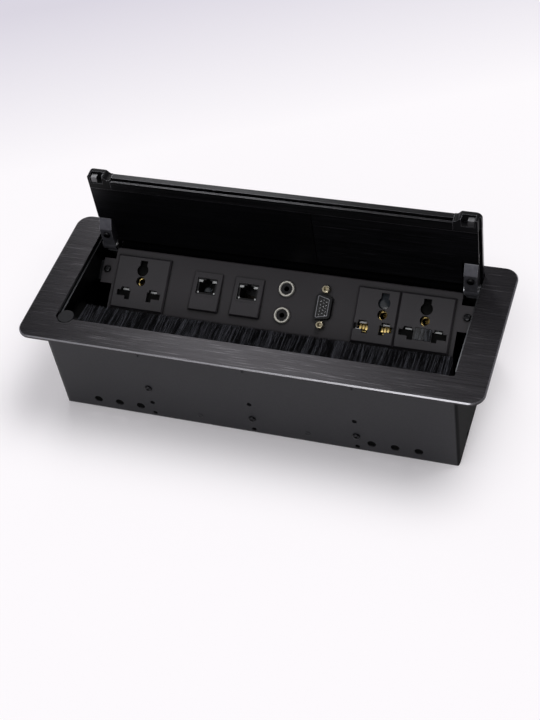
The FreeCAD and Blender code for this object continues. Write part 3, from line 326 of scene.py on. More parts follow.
paint_grain = 0.71 * mm       # real paint mist is about 0.1 mm, which is too fine to show here
paint_drift = 40 * mm
paint, shader = finish_of("matt_black_paint", Roughness=0.52, Specular_IOR_Level=0.28)
place = add(paint, "ShaderNodeTexCoord").outputs["Object"]
grain = add(paint, "ShaderNodeTexNoise", {"Vector": place, "Scale": 1 / paint_grain,
                                          "Detail": 3.0})
drift = add(paint, "ShaderNodeTexNoise", {"Vector": place, "Scale": 1 / paint_drift,
                                          "Detail": 2.0})
tone = add(paint, "ShaderNodeMixRGB", {"Fac": drift.outputs["Fac"], "Color1": linear("#2d2b2e"),
                                       "Color2": linear("#393639")})
fine = add(paint, "ShaderNodeBump", {"Height": grain.outputs["Fac"], "Strength": 0.15,
                                     "Distance": 0.03 * mm})
# Painted shade darkens the seams round the parts let into the panel.
feed(paint, painted_seam_shade(paint, tone.outputs["Color"], 2.2 * mm, 0.08), shader.inputs["Base Color"])
feed(paint, fine.outputs["Normal"], shader.inputs["Normal"])
dress(paint, "socket_panel")


# Screws. Small steel pan heads with a cross recess, blackened to a dull sheen: two in the panel's
# ears, and three in the front wall that hold the cord clips.

panel_tilt = math.radians(33)
panel_y, panel_z = 4.2407 * mm, 41.0189 * mm       # the lower edge of the panel's face
panel_out = Vector((0, -math.sin(panel_tilt), math.cos(panel_tilt)))


def on_panel(x, up, out):
    """A point on the sloping panel, from millimetres along, up the slope and outwards."""
    return Vector((x * mm,
                   panel_y + (up * math.cos(panel_tilt) - out * math.sin(panel_tilt)) * mm,
                   panel_z + (up * math.sin(panel_tilt) + out * math.cos(panel_tilt)) * mm))


def screws(name, spots, axis, depth, material, body, node):
    """Pan-head screws: domed head with a cross recess, and a shank that runs in behind it."""
    points, faces = [], []
    z = Vector(axis).normalized()
    x = z.orthogonal().normalized()
    y = z.cross(x)
    sides = 24
    shank = [(1.5, -depth), (1.5, 0.0)]
    head = [(2.6, 0.0), (2.6, 0.5), (2.35, 1.0), (1.8, 1.32)]
    recess = ((1.25, 0.55, 1.4), (1.1, 0.45, 0.6))     # reach in its arms, between them, height
    for spot in spots:
        turned(points, faces, shank + head, spot, axis, sides, (True, False))
        rim = len(points) - sides
        for arm, between, height in recess:
            for i in range(sides):
                angle = 2 * math.pi * i / sides
                in_arm = min(abs(math.sin(angle)), abs(math.cos(angle))) < 0.3
                points.append(Vector(spot) + z * height * mm
                              + (x * math.cos(angle) + y * math.sin(angle))
                              * (arm if in_arm else between) * mm)
        for a in (rim, rim + sides):
            for i in range(sides):
                j = (i + 1) % sides
                faces.append((a + i, a + j, a + sides + j, a + sides + i))
        faces.append(tuple(range(rim + 2 * sides, rim + 3 * sides)))
    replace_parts(mesh_piece(name, points, faces, material, body), node)


dark_zinc = mottled("blackened_screw_steel", "#151516", "#3c3c3e", 1.11, 3.0, Metallic=1.0,
                    Roughness=0.35)
short_shank = 3.6             # all sizes in mm; the wall's places are along X and up
ear_x, ear_up = 130.6, 28
clip_places = ((-73, 31), (0, 16), (73, 16))
ear_screws = [on_panel(side * ear_x, ear_up, 0) for side in (-1, 1)]
wall_screws = [(x * mm, wall, z * mm) for x, z in clip_places]
screws("panel_fixings", ear_screws, panel_out, short_shank, dark_zinc, "housing",
       "panel_screws")
screws("clip_fixings", wall_screws, (0, -1, 0), short_shank, dark_zinc, "housing",
       "clip_screws")


# Mains sockets. Covers of black ABS, snapped into the panel, with stepped slots; behind them
# black nylon bases and shutters, stamped brass contacts and small ridges painted white as a painted
# highlight.

# Black ABS: satin, with a fine spark-eroded grain that breaks its highlights up.
spark_grain = 0.91 * mm       # real grain is about 0.2 mm, which is too fine to show here
abs_drift = 25 * mm
abs_plastic, shader = finish_of("moulded_abs", Roughness=0.46, Specular_IOR_Level=0.4)
place = add(abs_plastic, "ShaderNodeTexCoord").outputs["Object"]
spark = add(abs_plastic, "ShaderNodeTexNoise", {"Vector": place, "Scale": 1 / spark_grain,
                                                "Detail": 4.0})
flow = add(abs_plastic, "ShaderNodeTexNoise", {"Vector": place, "Scale": 1 / abs_drift,
                                               "Detail": 2.0})
tone = add(abs_plastic, "ShaderNodeMixRGB", {"Fac": flow.outputs["Fac"],
                                             "Color1": linear("#282629"),
                                             "Color2": linear("#343135")})
matt = add(abs_plastic, "ShaderNodeMapRange", {"Value": spark.outputs["Fac"], "To Min": 0.38,
                                               "To Max": 0.56})
pits = add(abs_plastic, "ShaderNodeBump", {"Height": spark.outputs["Fac"], "Strength": 0.18,
                                           "Distance": 0.03 * mm})
# Painted shade darkens the seams round each cover.
feed(abs_plastic, painted_seam_shade(abs_plastic, tone.outputs["Color"], 1.5 * mm, 0.08),
     shader.inputs["Base Color"])
feed(abs_plastic, matt.outputs["Result"], shader.inputs["Roughness"])
feed(abs_plastic, pits.outputs["Normal"], shader.inputs["Normal"])
dress(abs_plastic, "socket_cover_left", "socket_cover_middle", "socket_cover_right")

# Nylon: dull and nearly black; deep in the slots that near black is also painted shade, and the
# shutters' copy is painted darker still, as more painted shade.
nylon = mottled("moulded_nylon", "#09090a", "#111112", 3.33, 3.0, Roughness=0.6, IOR=1.53)
shaded_nylon = mottled("shaded_nylon", "#020202", "#060606", 3.85, 3.0, Roughness=0.5,
                       Specular_IOR_Level=0.06)
dress(nylon, "socket_base_left", "socket_base_middle", "socket_base_right", "video_insert")
dress(shaded_nylon, "socket_shutter_left", "socket_shutter_right")

# Stamped brass: warm and bright, with darker patches of tarnish.
brass, shader = finish_of("stamped_brass", Metallic=1.0, Roughness=0.28)
place = add(brass, "ShaderNodeTexCoord").outputs["Object"]
tarnish = add(brass, "ShaderNodeTexNoise", {"Vector": place, "Scale": 1 / (2.38 * mm),
                                            "Detail": 4.0, "Roughness": 0.7})
tone = add(brass, "ShaderNodeMixRGB", {"Fac": tarnish.outputs["Fac"], "Color1": linear("#8a6c34"),
                                       "Color2": linear("#ecd590")})
feed(brass, tone.outputs["Color"], shader.inputs["Base Color"])
dress(brass, "socket_contacts_left", "socket_contacts_middle", "socket_contacts_right")


def moulded(points, faces, corners, low, high, edge):
    """A plate in the panel's slope, from an outline of (x, up), with its upper rim rounded over."""
    middle = Vector((sum(c[0] for c in corners), sum(c[1] for c in corners))) / len(corners)

    def ring(inset, out):
        made = []
        for corner in corners:
            away = Vector(corner) - middle
            at = middle + away * (1 - inset / away.length)
            made.append(on_panel(at.x, at.y, out))
        return made

    loft(points, faces, [ring(0, low), ring(0, high - edge), ring(edge * 0.3, high - edge * 0.3),
                         ring(edge, high)])


def disc(x, up, radius):
    """The outline of a round boss."""
    return [(x + radius * math.cos(2 * math.pi * i / 32),
             up + radius * math.sin(2 * math.pi * i / 32)) for i in range(32)]


def oblong(left, right, low, high):
    """The outline of a plate with square corners."""
    return [(left, low), (right, low), (right, high), (left, high)]


left_socket, middle_socket, right_socket = -102.7, 69.4, 103.1     # middles along X, in mm
middle_earth = 73.9

# Ridges on the shutters push them up when a plug goes in; each shows in the upper step of its slot,
# painted white as a painted highlight where the ramp edge catches the light. The middle socket has
# no shutter, and its ridges are fixed.
ridge_white = mottled("white_ridge_highlight", "#a4a6a8", "#dcdddd", 5.0, 2.0, Roughness=0.3, IOR=1.48)
ridge = (-1.4, -0.5, 0.3)     # its foot and top from the panel's face, and its rounding
ridge_low, ridge_high = 14.8, 16.0
for name, middle, pitch, body in (("left", left_socket, 22, "shutter_left"),
                                  ("middle", middle_socket, 17, "housing"),
                                  ("right", right_socket, 22, "shutter_right")):
    points, faces = [], []
    for hand in (-1, 1):
        x = middle + hand * pitch / 2
        inner, outer = sorted((x - hand * 3.1, x + hand * 2.0))
        moulded(points, faces, oblong(inner, outer, ridge_low, ridge_high), *ridge)
    if name == "middle":      # and a lower one at the side of its left slot
        moulded(points, faces, oblong(56.1, 59.6, 10.3, 11.1), *ridge)
    mesh_piece("slot_ridges_" + name, points, faces, ridge_white, body)


# Behind each key-shaped earth hole lies a small plate with a round boss, of nylon painted near
# black as painted shade in the hole, and in the middle socket of slate polycarbonate, which has a
# soft blue gloss.
def earth_plate(points, faces, x, edge):
    """The plate and boss behind the earth hole at x."""
    half_width, plate_low, plate_high = 4.5, 25.4, 37.4
    boss_up, boss_radius = 29.8, 3.9
    moulded(points, faces, oblong(x - half_width, x + half_width, plate_low, plate_high),
            low=-1.4, high=-0.7, edge=0.2)
    moulded(points, faces, disc(x, boss_up, boss_radius), low=-0.8, high=0.3, edge=edge)


points, faces = [], []
for x in (left_socket, right_socket):
    earth_plate(points, faces, x, 0.4)
mesh_piece("earth_plates", points, faces, shaded_nylon, "housing")

slate = mottled("slate_polycarbonate", "#15181c", "#2b3036", 2.5, 3.0, Roughness=0.22,
                Specular_IOR_Level=0.4)
points, faces = [], []
earth_plate(points, faces, middle_earth, 0.5)
mesh_piece("earth_plate_middle", points, faces, slate, "housing")

# Inside each round earth hole shows the rolled brass collar of its contact.
earth_up = 21.8
collar = [(2.5, -3.1), (3.2, -3.1), (3.2, -2.7), (3.0, -2.5), (2.7, -2.6), (2.5, -2.8),
          (2.5, -3.1)]
points, faces = [], []
for x in (left_socket, middle_earth, right_socket):
    turned(points, faces, collar, on_panel(x, earth_up, 0), panel_out, 40, (False, False))
mesh_piece("earth_collars", points, faces, brass, "housing")

# The middle socket's current contacts end in three sprung brass leaves under each slot.
leaf_half, leaf_gap, leaf_low, leaf_high = 0.85, 2.1, 10.6, 14.4
points, faces = [], []
for first_leaf in (59.6, 74.7):
    for i in range(3):
        x = first_leaf + i * leaf_gap
        moulded(points, faces, oblong(x - leaf_half, x + leaf_half, leaf_low, leaf_high),
                low=-3.0, high=-2.1, edge=0.35)
mesh_piece("current_leaves_middle", points, faces, brass, "housing")

# Between the right socket's slots a block of smoky clear polycarbonate fills the window over the
# shutter; its colour is painted in pale and dark bands, as painted reflections.
smoky, shader = finish_of("smoky_clear_polycarbonate", Roughness=0.24, Specular_IOR_Level=0.25,
                          Transmission_Weight=0.35)
band_width, band_length = 1.11 * mm, 8.33 * mm
place = add(smoky, "ShaderNodeTexCoord").outputs["Object"]
drawn = add(smoky, "ShaderNodeMapping", {"Vector": place,
                                         "Scale": (1 / band_width, 1 / band_length,
                                                   1 / band_length)})
cloud = add(smoky, "ShaderNodeTexNoise", {"Vector": drawn.outputs["Vector"], "Scale": 1.0,
                                          "Detail": 3.0})
painted_reflection_band = add(smoky, "ShaderNodeMapRange", {"Value": cloud.outputs["Fac"], "From Min": 0.4,
                                         "From Max": 0.64})
tone = add(smoky, "ShaderNodeMixRGB", {"Fac": painted_reflection_band.outputs["Result"], "Color1": linear("#101012"),
                                       "Color2": linear("#505257")})
feed(smoky, tone.outputs["Color"], shader.inputs["Base Color"])
window_left, window_right, window_low, window_high = 97.7, 108.5, 8.4, 16.4
flange = 0.8
points, faces = [], []
moulded(points, faces, oblong(window_left, window_right, window_low, window_high),
        low=0.1, high=2.0, edge=0.1)
moulded(points, faces, oblong(window_left - flange, window_right + flange, window_low,
                              window_high), low=2.0, high=2.25, edge=0.2)
mesh_piece("window_block", points, faces, smoky, "housing")


# Network jacks. A black polycarbonate jack snapped in behind each ABS bezel, with eight
# gold-plated wires, and milky light pipes in its corners.

# Polycarbonate shows small soft highlights; gold plate is bright and warm; the light pipes are
# clear, smooth and cloudy grey where no lamp is lit.
gloss = mottled("glossy_polycarbonate", "#0c0c0d", "#17171a", 2.0, 3.0, Roughness=0.28,
                Specular_IOR_Level=0.2)
gold = mottled("gold_plate", "#d9a441", "#f3d488", 1.25, 2.0, Metallic=1.0, Roughness=0.2)
light_pipe = mottled("clear_polycarbonate", "#6f7274", "#c9caca", 1.43, 2.0, Roughness=0.12,
                     IOR=1.58)
dress(abs_plastic, "network_bezel_left", "network_bezel_right")
dress(gloss, "network_jack_left", "network_jack_right")
dress(gold, "network_pins_left", "network_pins_right")
dress(light_pipe, "network_lamps_left", "network_lamps_right")

# Deep in the left port stands a rounded grey-blue plate of slate polycarbonate.
tongue_x, tongue_foot, tongue_half, tongue_rise = -53.4, 21.6, 3.1, 3.6
tongue = [(tongue_x + tongue_half * math.cos(math.pi * i / 16),
           tongue_foot + tongue_rise * math.sin(math.pi * i / 16)) for i in range(17)]
points, faces = [], []
moulded(points, faces, tongue, low=-4.4, high=-3.4, edge=0.3)
mesh_piece("port_tongue_left", points, faces, slate, "housing")


# Audio jacks. A black body pushed up through the panel and held by a round nut, which is turned
# in brass, chamfered inside and out and satin nickel-plated, and shows as a thin pale ring.

satin_nickel = mottled("satin_nickel_plate", "#bdbab1", "#e4e1d8", 1.67, 3.0, Metallic=0.55,
                       Roughness=0.38)
nut_profile = [(4.02, 0.0), (5.6, 0.0), (5.6, 1.2), (5.15, 1.78), (4.55, 1.78), (4.02, 1.3),
               (4.02, 0.0)]
audio_x = 4.2
dress(gloss, "audio_jack_upper", "audio_jack_lower")
for name, up in (("upper", 30.8), ("lower", 12.2)):
    points, faces = [], []
    turned(points, faces, nut_profile, on_panel(audio_x, up, 0), panel_out, 64, (False, False))
    nut = mesh_piece("audio_nut_" + name, points, faces, satin_nickel, "housing")
    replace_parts(nut, "audio_ring_" + name)


# Video connector. A black D-shaped housing, a drawn and plated steel shell, an insert with
# fifteen contacts, and two hexagonal pillars that take the screws of the plug.

# Drawn steel under nickel is grey and satin; nickel worn thin over brass is warmer; zinc plate
# has a fine spangle.
drawn_steel = mottled("drawn_nickel_steel", "#5c5c60", "#929296", 1.43, 3.0, Metallic=1.0,
                      Roughness=0.34)
warm_nickel = mottled("brass_under_nickel", "#8c8268", "#cfc6ae", 1.67, 3.0, Metallic=0.8,
                      Roughness=0.34)
dress(gloss, "video_housing")
dress(drawn_steel, "video_shell")

zinc, shader = finish_of("zinc_plated_steel", Metallic=1.0)
place = add(zinc, "ShaderNodeTexCoord").outputs["Object"]
spangle = add(zinc, "ShaderNodeTexVoronoi", {"Vector": place, "Scale": 1 / (1.11 * mm)})
tone = add(zinc, "ShaderNodeMixRGB", {"Fac": spangle.outputs["Distance"],
                                      "Color1": linear("#8b8c8f"), "Color2": linear("#b6b7ba")})
dull = add(zinc, "ShaderNodeMapRange", {"Value": spangle.outputs["Distance"], "To Min": 0.28,
                                        "To Max": 0.42})
feed(zinc, tone.outputs["Color"], shader.inputs["Base Color"])
feed(zinc, dull.outputs["Result"], shader.inputs["Roughness"])

video_x, video_up = 32.4, 21.3
pillar_apart = 12.5           # each pillar from the middle of the connector
half_across = 2.38            # half the width over the hexagon's flats
side = Vector((1, 0, 0))
rise = panel_out.cross(side)
# Radius and height of each ring; None follows the hexagon, whose corners a cone cuts off.
pillar_profile = ((1.5, -3.6), (1.5, 0.0), (None, 0.0), (None, 4.2), (2.2, 4.2), (1.6, 4.2),
                  (1.3, 3.8), (1.3, 1.3))
points, faces = [], []
for up in (video_up + pillar_apart, video_up - pillar_apart):
    rings = []
    for radius, height in pillar_profile:
        ring = []
        for i in range(36):
            turn = 2 * math.pi * i / 36
            apart = (turn % (math.pi / 3)) - math.pi / 6
            across = half_across / math.cos(apart)
            r = across if radius is None else radius
            h = height - (across - 2.2) * 0.55 if radius is None and height > 1 else height
            ring.append(on_panel(video_x, up, 0) + panel_out * h * mm
                        + (side * math.cos(turn) + rise * math.sin(turn)) * r * mm)
        rings.append(ring)
    loft(points, faces, rings)
pillars = mesh_piece("video_screw_pillars", points, faces, warm_nickel, "housing")
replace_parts(pillars, "video_pillars")

# Fifteen plated contacts sit flush in the insert, in three rows of five.
row_gap, contact_gap = 1.98, 2.29
contact_profile = [(0.46, 0.0), (0.46, 1.95), (0.3, 2.0), (0.22, 1.9), (0.22, 0.4)]
points, faces = [], []
for row in range(3):
    shift = 0.25 if row % 2 else -0.25
    for i in range(5):
        spot = on_panel(video_x + (row - 1) * row_gap, video_up + (i - 2 + shift) * contact_gap,
                        0.7)
        turned(points, faces, contact_profile, spot, panel_out, 10)
mesh_piece("video_contacts", points, faces, zinc, "housing")


# Brush strip. Black nylon bristles gripped in a folded strip of zinc-plated steel, which is pushed
# into its channel; they lean a little, droop to their tips, and catch the light along them.

dress(zinc, "brush_crimp")
bristle_nylon, shader = finish_of("nylon_bristle", Roughness=0.38, Specular_IOR_Level=0.3)
place = add(bristle_nylon, "ShaderNodeTexCoord").outputs["Object"]
strand = add(bristle_nylon, "ShaderNodeNewGeometry")
along = add(bristle_nylon, "ShaderNodeTexNoise", {"Vector": place, "Scale": 1 / (11.1 * mm),
                                                  "Detail": 2.0})
lot = add(bristle_nylon, "ShaderNodeMath", {0: along.outputs["Fac"], 1: 0.14,
                                            2: strand.outputs["Random Per Island"]},
          operation="MULTIPLY_ADD")
tone = add(bristle_nylon, "ShaderNodeValToRGB", {"Fac": lot.outputs["Value"]})
for stop, position, code in zip(tone.color_ramp.elements, (0.8, 1.0), ("#08080a", "#66676f")):
    stop.position = position
    stop.color = linear(code)
feed(bristle_nylon, tone.outputs["Color"], shader.inputs["Base Color"])

brush_left, brush_right = -124.0, 132.7
root_y, root_z, bristle_length = -47.5, 70.0, 27.7
bristles = 5400
bristle_radius = 0.14         # real bristles are about 0.2 mm across; thicker ones show here
corners = [math.radians(a) for a in (90, 210, 330)]
draw = random.Random(11)
points, faces = [], []
for i in range(bristles):
    x = brush_left + (brush_right - brush_left) * (i + draw.random()) / bristles
    layer = draw.uniform(-1.0, 1.0)
    clump = 0.35 * math.sin(x * 0.9) + 0.4 * math.sin(x * 2.3 + 1) + 0.5 * math.sin(x * 0.23)
    lean = clump + draw.gauss(0, 0.7)
    length = bristle_length + draw.uniform(-1.0, 0.0)
    drop = 1.1 + draw.gauss(0, 0.35) - layer * 0.3
    rings = []
    for k in range(5):
        t = k / 4
        cx = min(max(x + lean * t * t, brush_left), brush_right)
        cy = root_y + length * t
        cz = root_z + layer * (0.75 + 0.35 * t) - drop * t * t
        r = bristle_radius * (1.0 - 0.35 * t)
        rings.append([Vector(((cx + r * math.cos(a)) * mm, cy * mm, (cz + r * math.sin(a)) * mm))
                      for a in corners])
    loft(points, faces, rings)
strip = mesh_piece("bristle_strip", points, faces, bristle_nylon, "housing",
                   smooth=False)
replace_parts(strip, "brush_bristles")


# Corner plug. A small disc turned in aluminium, under a matt black anodising that shows the fine
# rings of the tool, pushed into the corner of the opening.

plug_x, plug_y, plug_z = -130.7 * mm, -37.8 * mm, 75 * mm
ring_gap = 0.349 * mm
disc_metal, shader = finish_of("turned_anodised_disc", Metallic=0.6, Roughness=0.5)
place = add(disc_metal, "ShaderNodeTexCoord").outputs["Object"]
centred = add(disc_metal, "ShaderNodeMapping", {"Vector": place,
                                                "Location": (-plug_x, -plug_y, -plug_z)})
rings = add(disc_metal, "ShaderNodeTexWave", {"Vector": centred.outputs["Vector"],
                                              "Scale": math.pi / 10 / ring_gap,
                                              "Distortion": 0.6},
            wave_type="RINGS", rings_direction="Z")
tone = add(disc_metal, "ShaderNodeMixRGB", {"Fac": rings.outputs["Fac"],
                                            "Color1": linear("#131315"),
                                            "Color2": linear("#1f1f22")})
feed(disc_metal, tone.outputs["Color"], shader.inputs["Base Color"])
points, faces = [], []
turned(points, faces, [(3.0, -5.0), (3.0, -2.0), (5.7, -2.0), (5.7, -0.1), (5.4, 0.2)],
       (plug_x, plug_y, plug_z), (0, 0, 1), 64)
plug = mesh_piece("corner_disc", points, faces, disc_metal, "housing")
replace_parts(plug, "corner_plug")


# Lid. An anodised extrusion with a rolled rear edge, two brushed liner sheets glued inside it,
# and a lacquered zinc casting at each corner that holds a magnet's keeper.

def soften(width, *names):
    """The small radius that tools leave on the edges of these nodes."""
    for name in names:
        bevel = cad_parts[name].modifiers.new("edge", "BEVEL")
        bevel.width = width
        bevel.segments = 2
        bevel.limit_method = "ANGLE"
        bevel.angle_limit = math.radians(40)
        bevel.harden_normals = True


def edge_highlight_mask(material, radius):
    """1 on sharp edges, where a painted highlight goes, 0 on the flats."""
    rounded = add(material, "ShaderNodeBevel", {"Radius": radius}, samples=6)
    true = add(material, "ShaderNodeNewGeometry")
    agree = add(material, "ShaderNodeVectorMath", {0: rounded.outputs["Normal"],
                                                   1: true.outputs["Normal"]},
                operation="DOT_PRODUCT")
    return add(material, "ShaderNodeMapRange", {"Value": agree.outputs["Value"], "From Min": 0.985,
                                                "From Max": 0.88}).outputs["Result"]


# The rolled rear edge isn't brushed: it is painted darker, as painted shade, and quite matt. Sharp
# edges get a painted highlight.
roll_top, sheet_foot = 67.0 * mm, 69.5 * mm
lid_metal, shader, place, black, ground = brushed("lid", "#151517", "#2b2b2d", "#434346", 0.28)
along = add(lid_metal, "ShaderNodeSeparateXYZ", {"Vector": place.outputs["Object"]})
sheet = add(lid_metal, "ShaderNodeMapRange", {"Value": along.outputs["Z"], "From Min": roll_top,
                                              "From Max": sheet_foot})
roll_painted_shade = add(lid_metal, "ShaderNodeMixRGB", {"Fac": sheet.outputs["Result"],
                                            "Color1": linear("#050506"), "Color2": black})
highlighted = add(lid_metal, "ShaderNodeMixRGB", {"Fac": edge_highlight_mask(lid_metal, 0.4 * mm),
                                             "Color1": roll_painted_shade.outputs["Color"],
                                             "Color2": linear("#717075")})
matt = add(lid_metal, "ShaderNodeMapRange", {"Value": sheet.outputs["Result"], "To Min": 0.65,
                                             "To Max": ground})
metal_share = add(lid_metal, "ShaderNodeMapRange", {"Value": sheet.outputs["Result"],
                                                    "To Min": 1.0, "To Max": 0.75})
feed(lid_metal, metal_share.outputs["Result"], shader.inputs["Metallic"])
feed(lid_metal, matt.outputs["Result"], shader.inputs["Roughness"])
feed(lid_metal, highlighted.outputs["Color"], shader.inputs["Base Color"])
dress(lid_metal, "lid_panel")
# The right liner is painted lighter than the left, as a painted reflection.
dress(brushed("liner_left", "#0d0d10", "#1c1c20", "#29292d", 0.3)[0], "lid_liner_left")
dress(brushed("liner_right", "#0e0e11", "#2a2a2e", "#4a4b50", 0.3)[0], "lid_liner_right")

# Black lacquer with a slight orange peel, its edges painted bright and metallic as a painted
# highlight, strongest on the top edges.
peel_size = 2.22 * mm
cap_body, cap_top = 119.5 * mm, 122.5 * mm
lacquer, shader = finish_of("lacquered_zinc_casting", Roughness=0.4, Specular_IOR_Level=0.12)
place = add(lacquer, "ShaderNodeTexCoord").outputs["Object"]
peel = add(lacquer, "ShaderNodeTexNoise", {"Vector": place, "Scale": 1 / peel_size,
                                           "Detail": 2.0})
tone = add(lacquer, "ShaderNodeMixRGB", {"Fac": peel.outputs["Fac"], "Color1": linear("#0a0a0b"),
                                         "Color2": linear("#141416")})
waves = add(lacquer, "ShaderNodeBump", {"Height": peel.outputs["Fac"], "Strength": 0.12,
                                        "Distance": 0.05 * mm})
spot = add(lacquer, "ShaderNodeSeparateXYZ", {"Vector": place})
top_highlight_share = add(lacquer, "ShaderNodeMapRange", {"Value": spot.outputs["Z"], "From Min": cap_body,
                                              "From Max": cap_top, "To Min": 0.1})
highlighted = add(lacquer, "ShaderNodeMath", {0: edge_highlight_mask(lacquer, 0.35 * mm),
                                         1: top_highlight_share.outputs["Result"]},
             operation="MULTIPLY").outputs["Value"]
edge_highlight = add(lacquer, "ShaderNodeMixRGB", {"Fac": highlighted, "Color1": tone.outputs["Color"],
                                         "Color2": linear("#808085")})
feed(lacquer, edge_highlight.outputs["Color"], shader.inputs["Base Color"])
feed(lacquer, highlighted, shader.inputs["Metallic"])
feed(lacquer, waves.outputs["Normal"], shader.inputs["Normal"])
dress(lacquer, "lid_cap_left", "lid_cap_right")

# The keepers are plated steel with a dull bloom.
keeper = mottled("dull_magnet_plate", "#4a4a4c", "#8a8a8c", 2.0, 4.0, Metallic=1.0, Roughness=0.38)
dress(keeper, "lid_magnets")
soften(0.3 * mm, "lid_panel", "lid_cap_left", "lid_cap_right", "lid_magnets")


# Hinge arms. Zinc castings with a grey satin lacquer, with a painted highlight on their corners and
# painted shade in their seams, each screwed to the lid and turning on a nickel-plated pin, which a
# steel clip keeps in place.

cast_zinc, shader = finish_of("satin_zinc_casting", Metallic=0.6, Roughness=0.36)
place = add(cast_zinc, "ShaderNodeTexCoord").outputs["Object"]
skin = add(cast_zinc, "ShaderNodeTexNoise", {"Vector": place, "Scale": 1 / (3.125 * mm),
                                             "Detail": 4.0})
tone = add(cast_zinc, "ShaderNodeMixRGB", {"Fac": skin.outputs["Fac"], "Color1": linear("#434348"),
                                           "Color2": linear("#6b6b71")})
edge_highlight = add(cast_zinc, "ShaderNodeMixRGB", {"Fac": edge_highlight_mask(cast_zinc, 0.35 * mm),
                                           "Color1": tone.outputs["Color"],
                                           "Color2": linear("#a9a9ae")})
# Painted shade darkens the seams of the arms.
feed(cast_zinc, painted_seam_shade(cast_zinc, edge_highlight.outputs["Color"], 1.5 * mm, 0.3),
     shader.inputs["Base Color"])
dress(cast_zinc, "hinge_arm_left", "hinge_arm_right")
soften(0.3 * mm, "hinge_arm_left", "hinge_arm_right")
arm_x, arm_front, arm_screw_up = 130.8 * mm, 39.5 * mm, 78.5 * mm
long_shank = 10.0
arm_screws = [(side * arm_x, arm_front, arm_screw_up) for side in (-1, 1)]
screws("arm_fixings", arm_screws, (0, -1, 0), long_shank, dark_zinc, "lid",
       "arm_screws")

# Nickel plate on the pins mirrors its surroundings in a warm white.
nickel = mottled("nickel_plate", "#9c9a94", "#d8d6d0", 1.67, 3.0, Metallic=1.0, Roughness=0.22)
dress(nickel, "hinge_pins")
dress(zinc, "pin_clips")


# Studio. A pale paper floor under four soft lights: a large one above and behind, a strip behind
# at the left, a box in front, and a weak one high in front at the left. The camera stands in
# front and to the right, above the object.

def studio_light(name, place, aim, size, power):
    """A rectangular soft light, its size in metres and its power in watts."""
    data = bpy.data.lights.new(name, "AREA")
    data.shape = "RECTANGLE"
    data.size, data.size_y = size
    data.energy = power
    lamp = bpy.data.objects.new(name, data)
    lamp.location = place
    lamp.rotation_mode = "QUATERNION"
    lamp.rotation_quaternion = (Vector(aim) - Vector(place)).to_track_quat("-Z", "Y")
    bpy.context.scene.collection.objects.link(lamp)


studio_light("overhead", (0.58, 0.6, 1.93), (0, 0, 0), (1.4, 1.0), 23)
studio_light("back_strip", (-0.6, 1.1, 1.52), (-0.02, -0.05, 0.07), (0.38, 1.2), 7)
studio_light("front_box", (-0.02, -1.62, 1.22), (0, 0, 0.05), (0.8, 0.9), 11)
studio_light("upper_front", (-0.77, -0.68, 1.38), (0, 0, 0.05), (1.3, 1.3), 4)

reach = 4                     # metres of floor each way
floor_mesh = bpy.data.meshes.new("floor")
floor_mesh.from_pydata([(-reach, -reach, 0), (reach, -reach, 0), (reach, reach, 0),
                        (-reach, reach, 0)], [], [(0, 1, 2, 3)])
floor = bpy.data.objects.new("floor", floor_mesh)
bpy.context.scene.collection.objects.link(floor)

# The paper is painted from white to a pale violet grey along a slanting line behind the object, as
# painted shade where the light falls off.
fade_start, fade_end = 0.3, 0.56
backdrop, shader = finish_of("pale_backdrop_paper", Roughness=0.9)
place = add(backdrop, "ShaderNodeTexCoord").outputs["Object"]
back = add(backdrop, "ShaderNodeSeparateXYZ", {"Vector": place})
slant = add(backdrop, "ShaderNodeMath", {0: back.outputs["X"], 1: -0.45, 2: back.outputs["Y"]},
            operation="MULTIPLY_ADD")
painted_falloff = add(backdrop, "ShaderNodeMapRange", {"Value": slant.outputs["Value"],
                                            "From Min": fade_start, "From Max": fade_end})
paper = add(backdrop, "ShaderNodeMixRGB", {"Fac": painted_falloff.outputs["Result"],
                                           "Color1": linear("#fffcff"),
                                           "Color2": linear("#ddd9e4")})

# Away from the object the paper also shows its own white, to the eye and in reflections. Near it
# that share falls off, so that the shadow stays.
shadow_middle, shadow_half = (-0.025, 0.015, 0), (0.13, 0.053, 0)
seen = add(backdrop, "ShaderNodeLightPath")
glow = add(backdrop, "ShaderNodeEmission", {"Color": paper.outputs["Color"], "Strength": 1.0})
mirrored = add(backdrop, "ShaderNodeMath", {0: seen.outputs["Is Camera Ray"],
                                            1: seen.outputs["Is Glossy Ray"]}, operation="ADD")
direct = add(backdrop, "ShaderNodeMath", {0: mirrored.outputs["Value"],
                                          1: seen.outputs["Is Transmission Ray"]},
             operation="ADD", use_clamp=True)
centred = add(backdrop, "ShaderNodeVectorMath", {0: place, 1: shadow_middle},
              operation="SUBTRACT")
sides = add(backdrop, "ShaderNodeVectorMath", {0: centred.outputs["Vector"]}, operation="ABSOLUTE")
off = add(backdrop, "ShaderNodeVectorMath", {0: sides.outputs["Vector"], 1: shadow_half},
          operation="SUBTRACT")
beyond = add(backdrop, "ShaderNodeVectorMath", {0: off.outputs["Vector"], 1: (0, 0, 0)},
             operation="MAXIMUM")
away = add(backdrop, "ShaderNodeVectorMath", {0: beyond.outputs["Vector"]}, operation="LENGTH")
clear = add(backdrop, "ShaderNodeMapRange", {"Value": away.outputs["Value"], "From Min": 10 * mm,
                                             "From Max": 90 * mm, "To Min": 0.12, "To Max": 0.85},
            interpolation_type="SMOOTHSTEP")
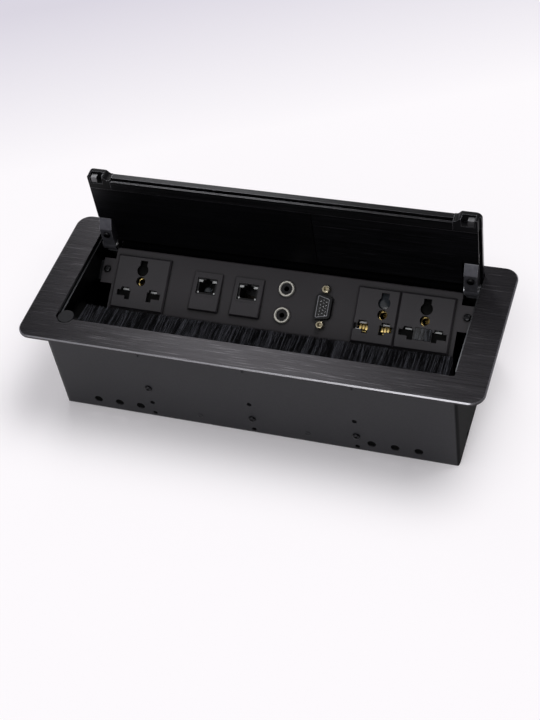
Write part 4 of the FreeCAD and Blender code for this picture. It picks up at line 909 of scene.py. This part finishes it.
share = add(backdrop, "ShaderNodeMath", {0: direct.outputs["Value"], 1: clear.outputs["Result"]},
            operation="MULTIPLY")
blend = add(backdrop, "ShaderNodeMixShader", {0: share.outputs["Value"],
                                              1: shader.outputs["BSDF"],
                                              2: glow.outputs["Emission"]})
feed(backdrop, paper.outputs["Color"], shader.inputs["Base Color"])
feed(backdrop, blend.outputs["Shader"],
     backdrop.node_tree.nodes["Material Output"].inputs["Surface"])
floor_mesh.materials.append(backdrop)

# The surround is a pale violet, brightest low down and to the left, and nearly white where it is
# looked at directly.
surround = bpy.data.worlds.new("pale_surround")
surround.use_nodes = True
bpy.context.scene.world = surround
lit = surround.node_tree.nodes["Background"]
lit.inputs["Color"].default_value = linear("#ebe9f7")
way = add(surround, "ShaderNodeTexCoord")
height = add(surround, "ShaderNodeSeparateXYZ", {"Vector": way.outputs["Generated"]})
fall = add(surround, "ShaderNodeMapRange", {"Value": height.outputs["Z"], "From Min": 0.0,
                                            "From Max": 0.5, "To Min": 0.4, "To Max": 0.1},
           interpolation_type="SMOOTHSTEP")
right = add(surround, "ShaderNodeMapRange", {"Value": height.outputs["X"], "From Min": -0.1,
                                             "From Max": 0.6, "To Min": 1.0, "To Max": 0.35})
level = add(surround, "ShaderNodeMath", {0: fall.outputs["Result"], 1: right.outputs["Result"]},
            operation="MULTIPLY")
sight = add(surround, "ShaderNodeLightPath")
strength = add(surround, "ShaderNodeMath", {0: sight.outputs["Is Camera Ray"], 1: 0.95,
                                            2: level.outputs["Value"]}, operation="MULTIPLY_ADD")
feed(surround, strength.outputs["Value"], lit.inputs["Strength"])
bpy.context.scene.view_settings.view_transform = "Standard"

# The camera's place and turn come from a fit to the trim plate, the tray and the panel.
camera_data = bpy.data.cameras.new("camera")
camera_data.lens = 72.27      # for the 36 mm side of the sensor, which is the frame's height
camera_data.sensor_width = 36
camera = bpy.data.objects.new("camera", camera_data)
camera.location = (0.29188, -0.61498, 0.75975)
camera.rotation_euler = [math.radians(a) for a in (42.016, 7.35, 17.635)]
bpy.context.scene.collection.objects.link(camera)
bpy.context.scene.camera = camera
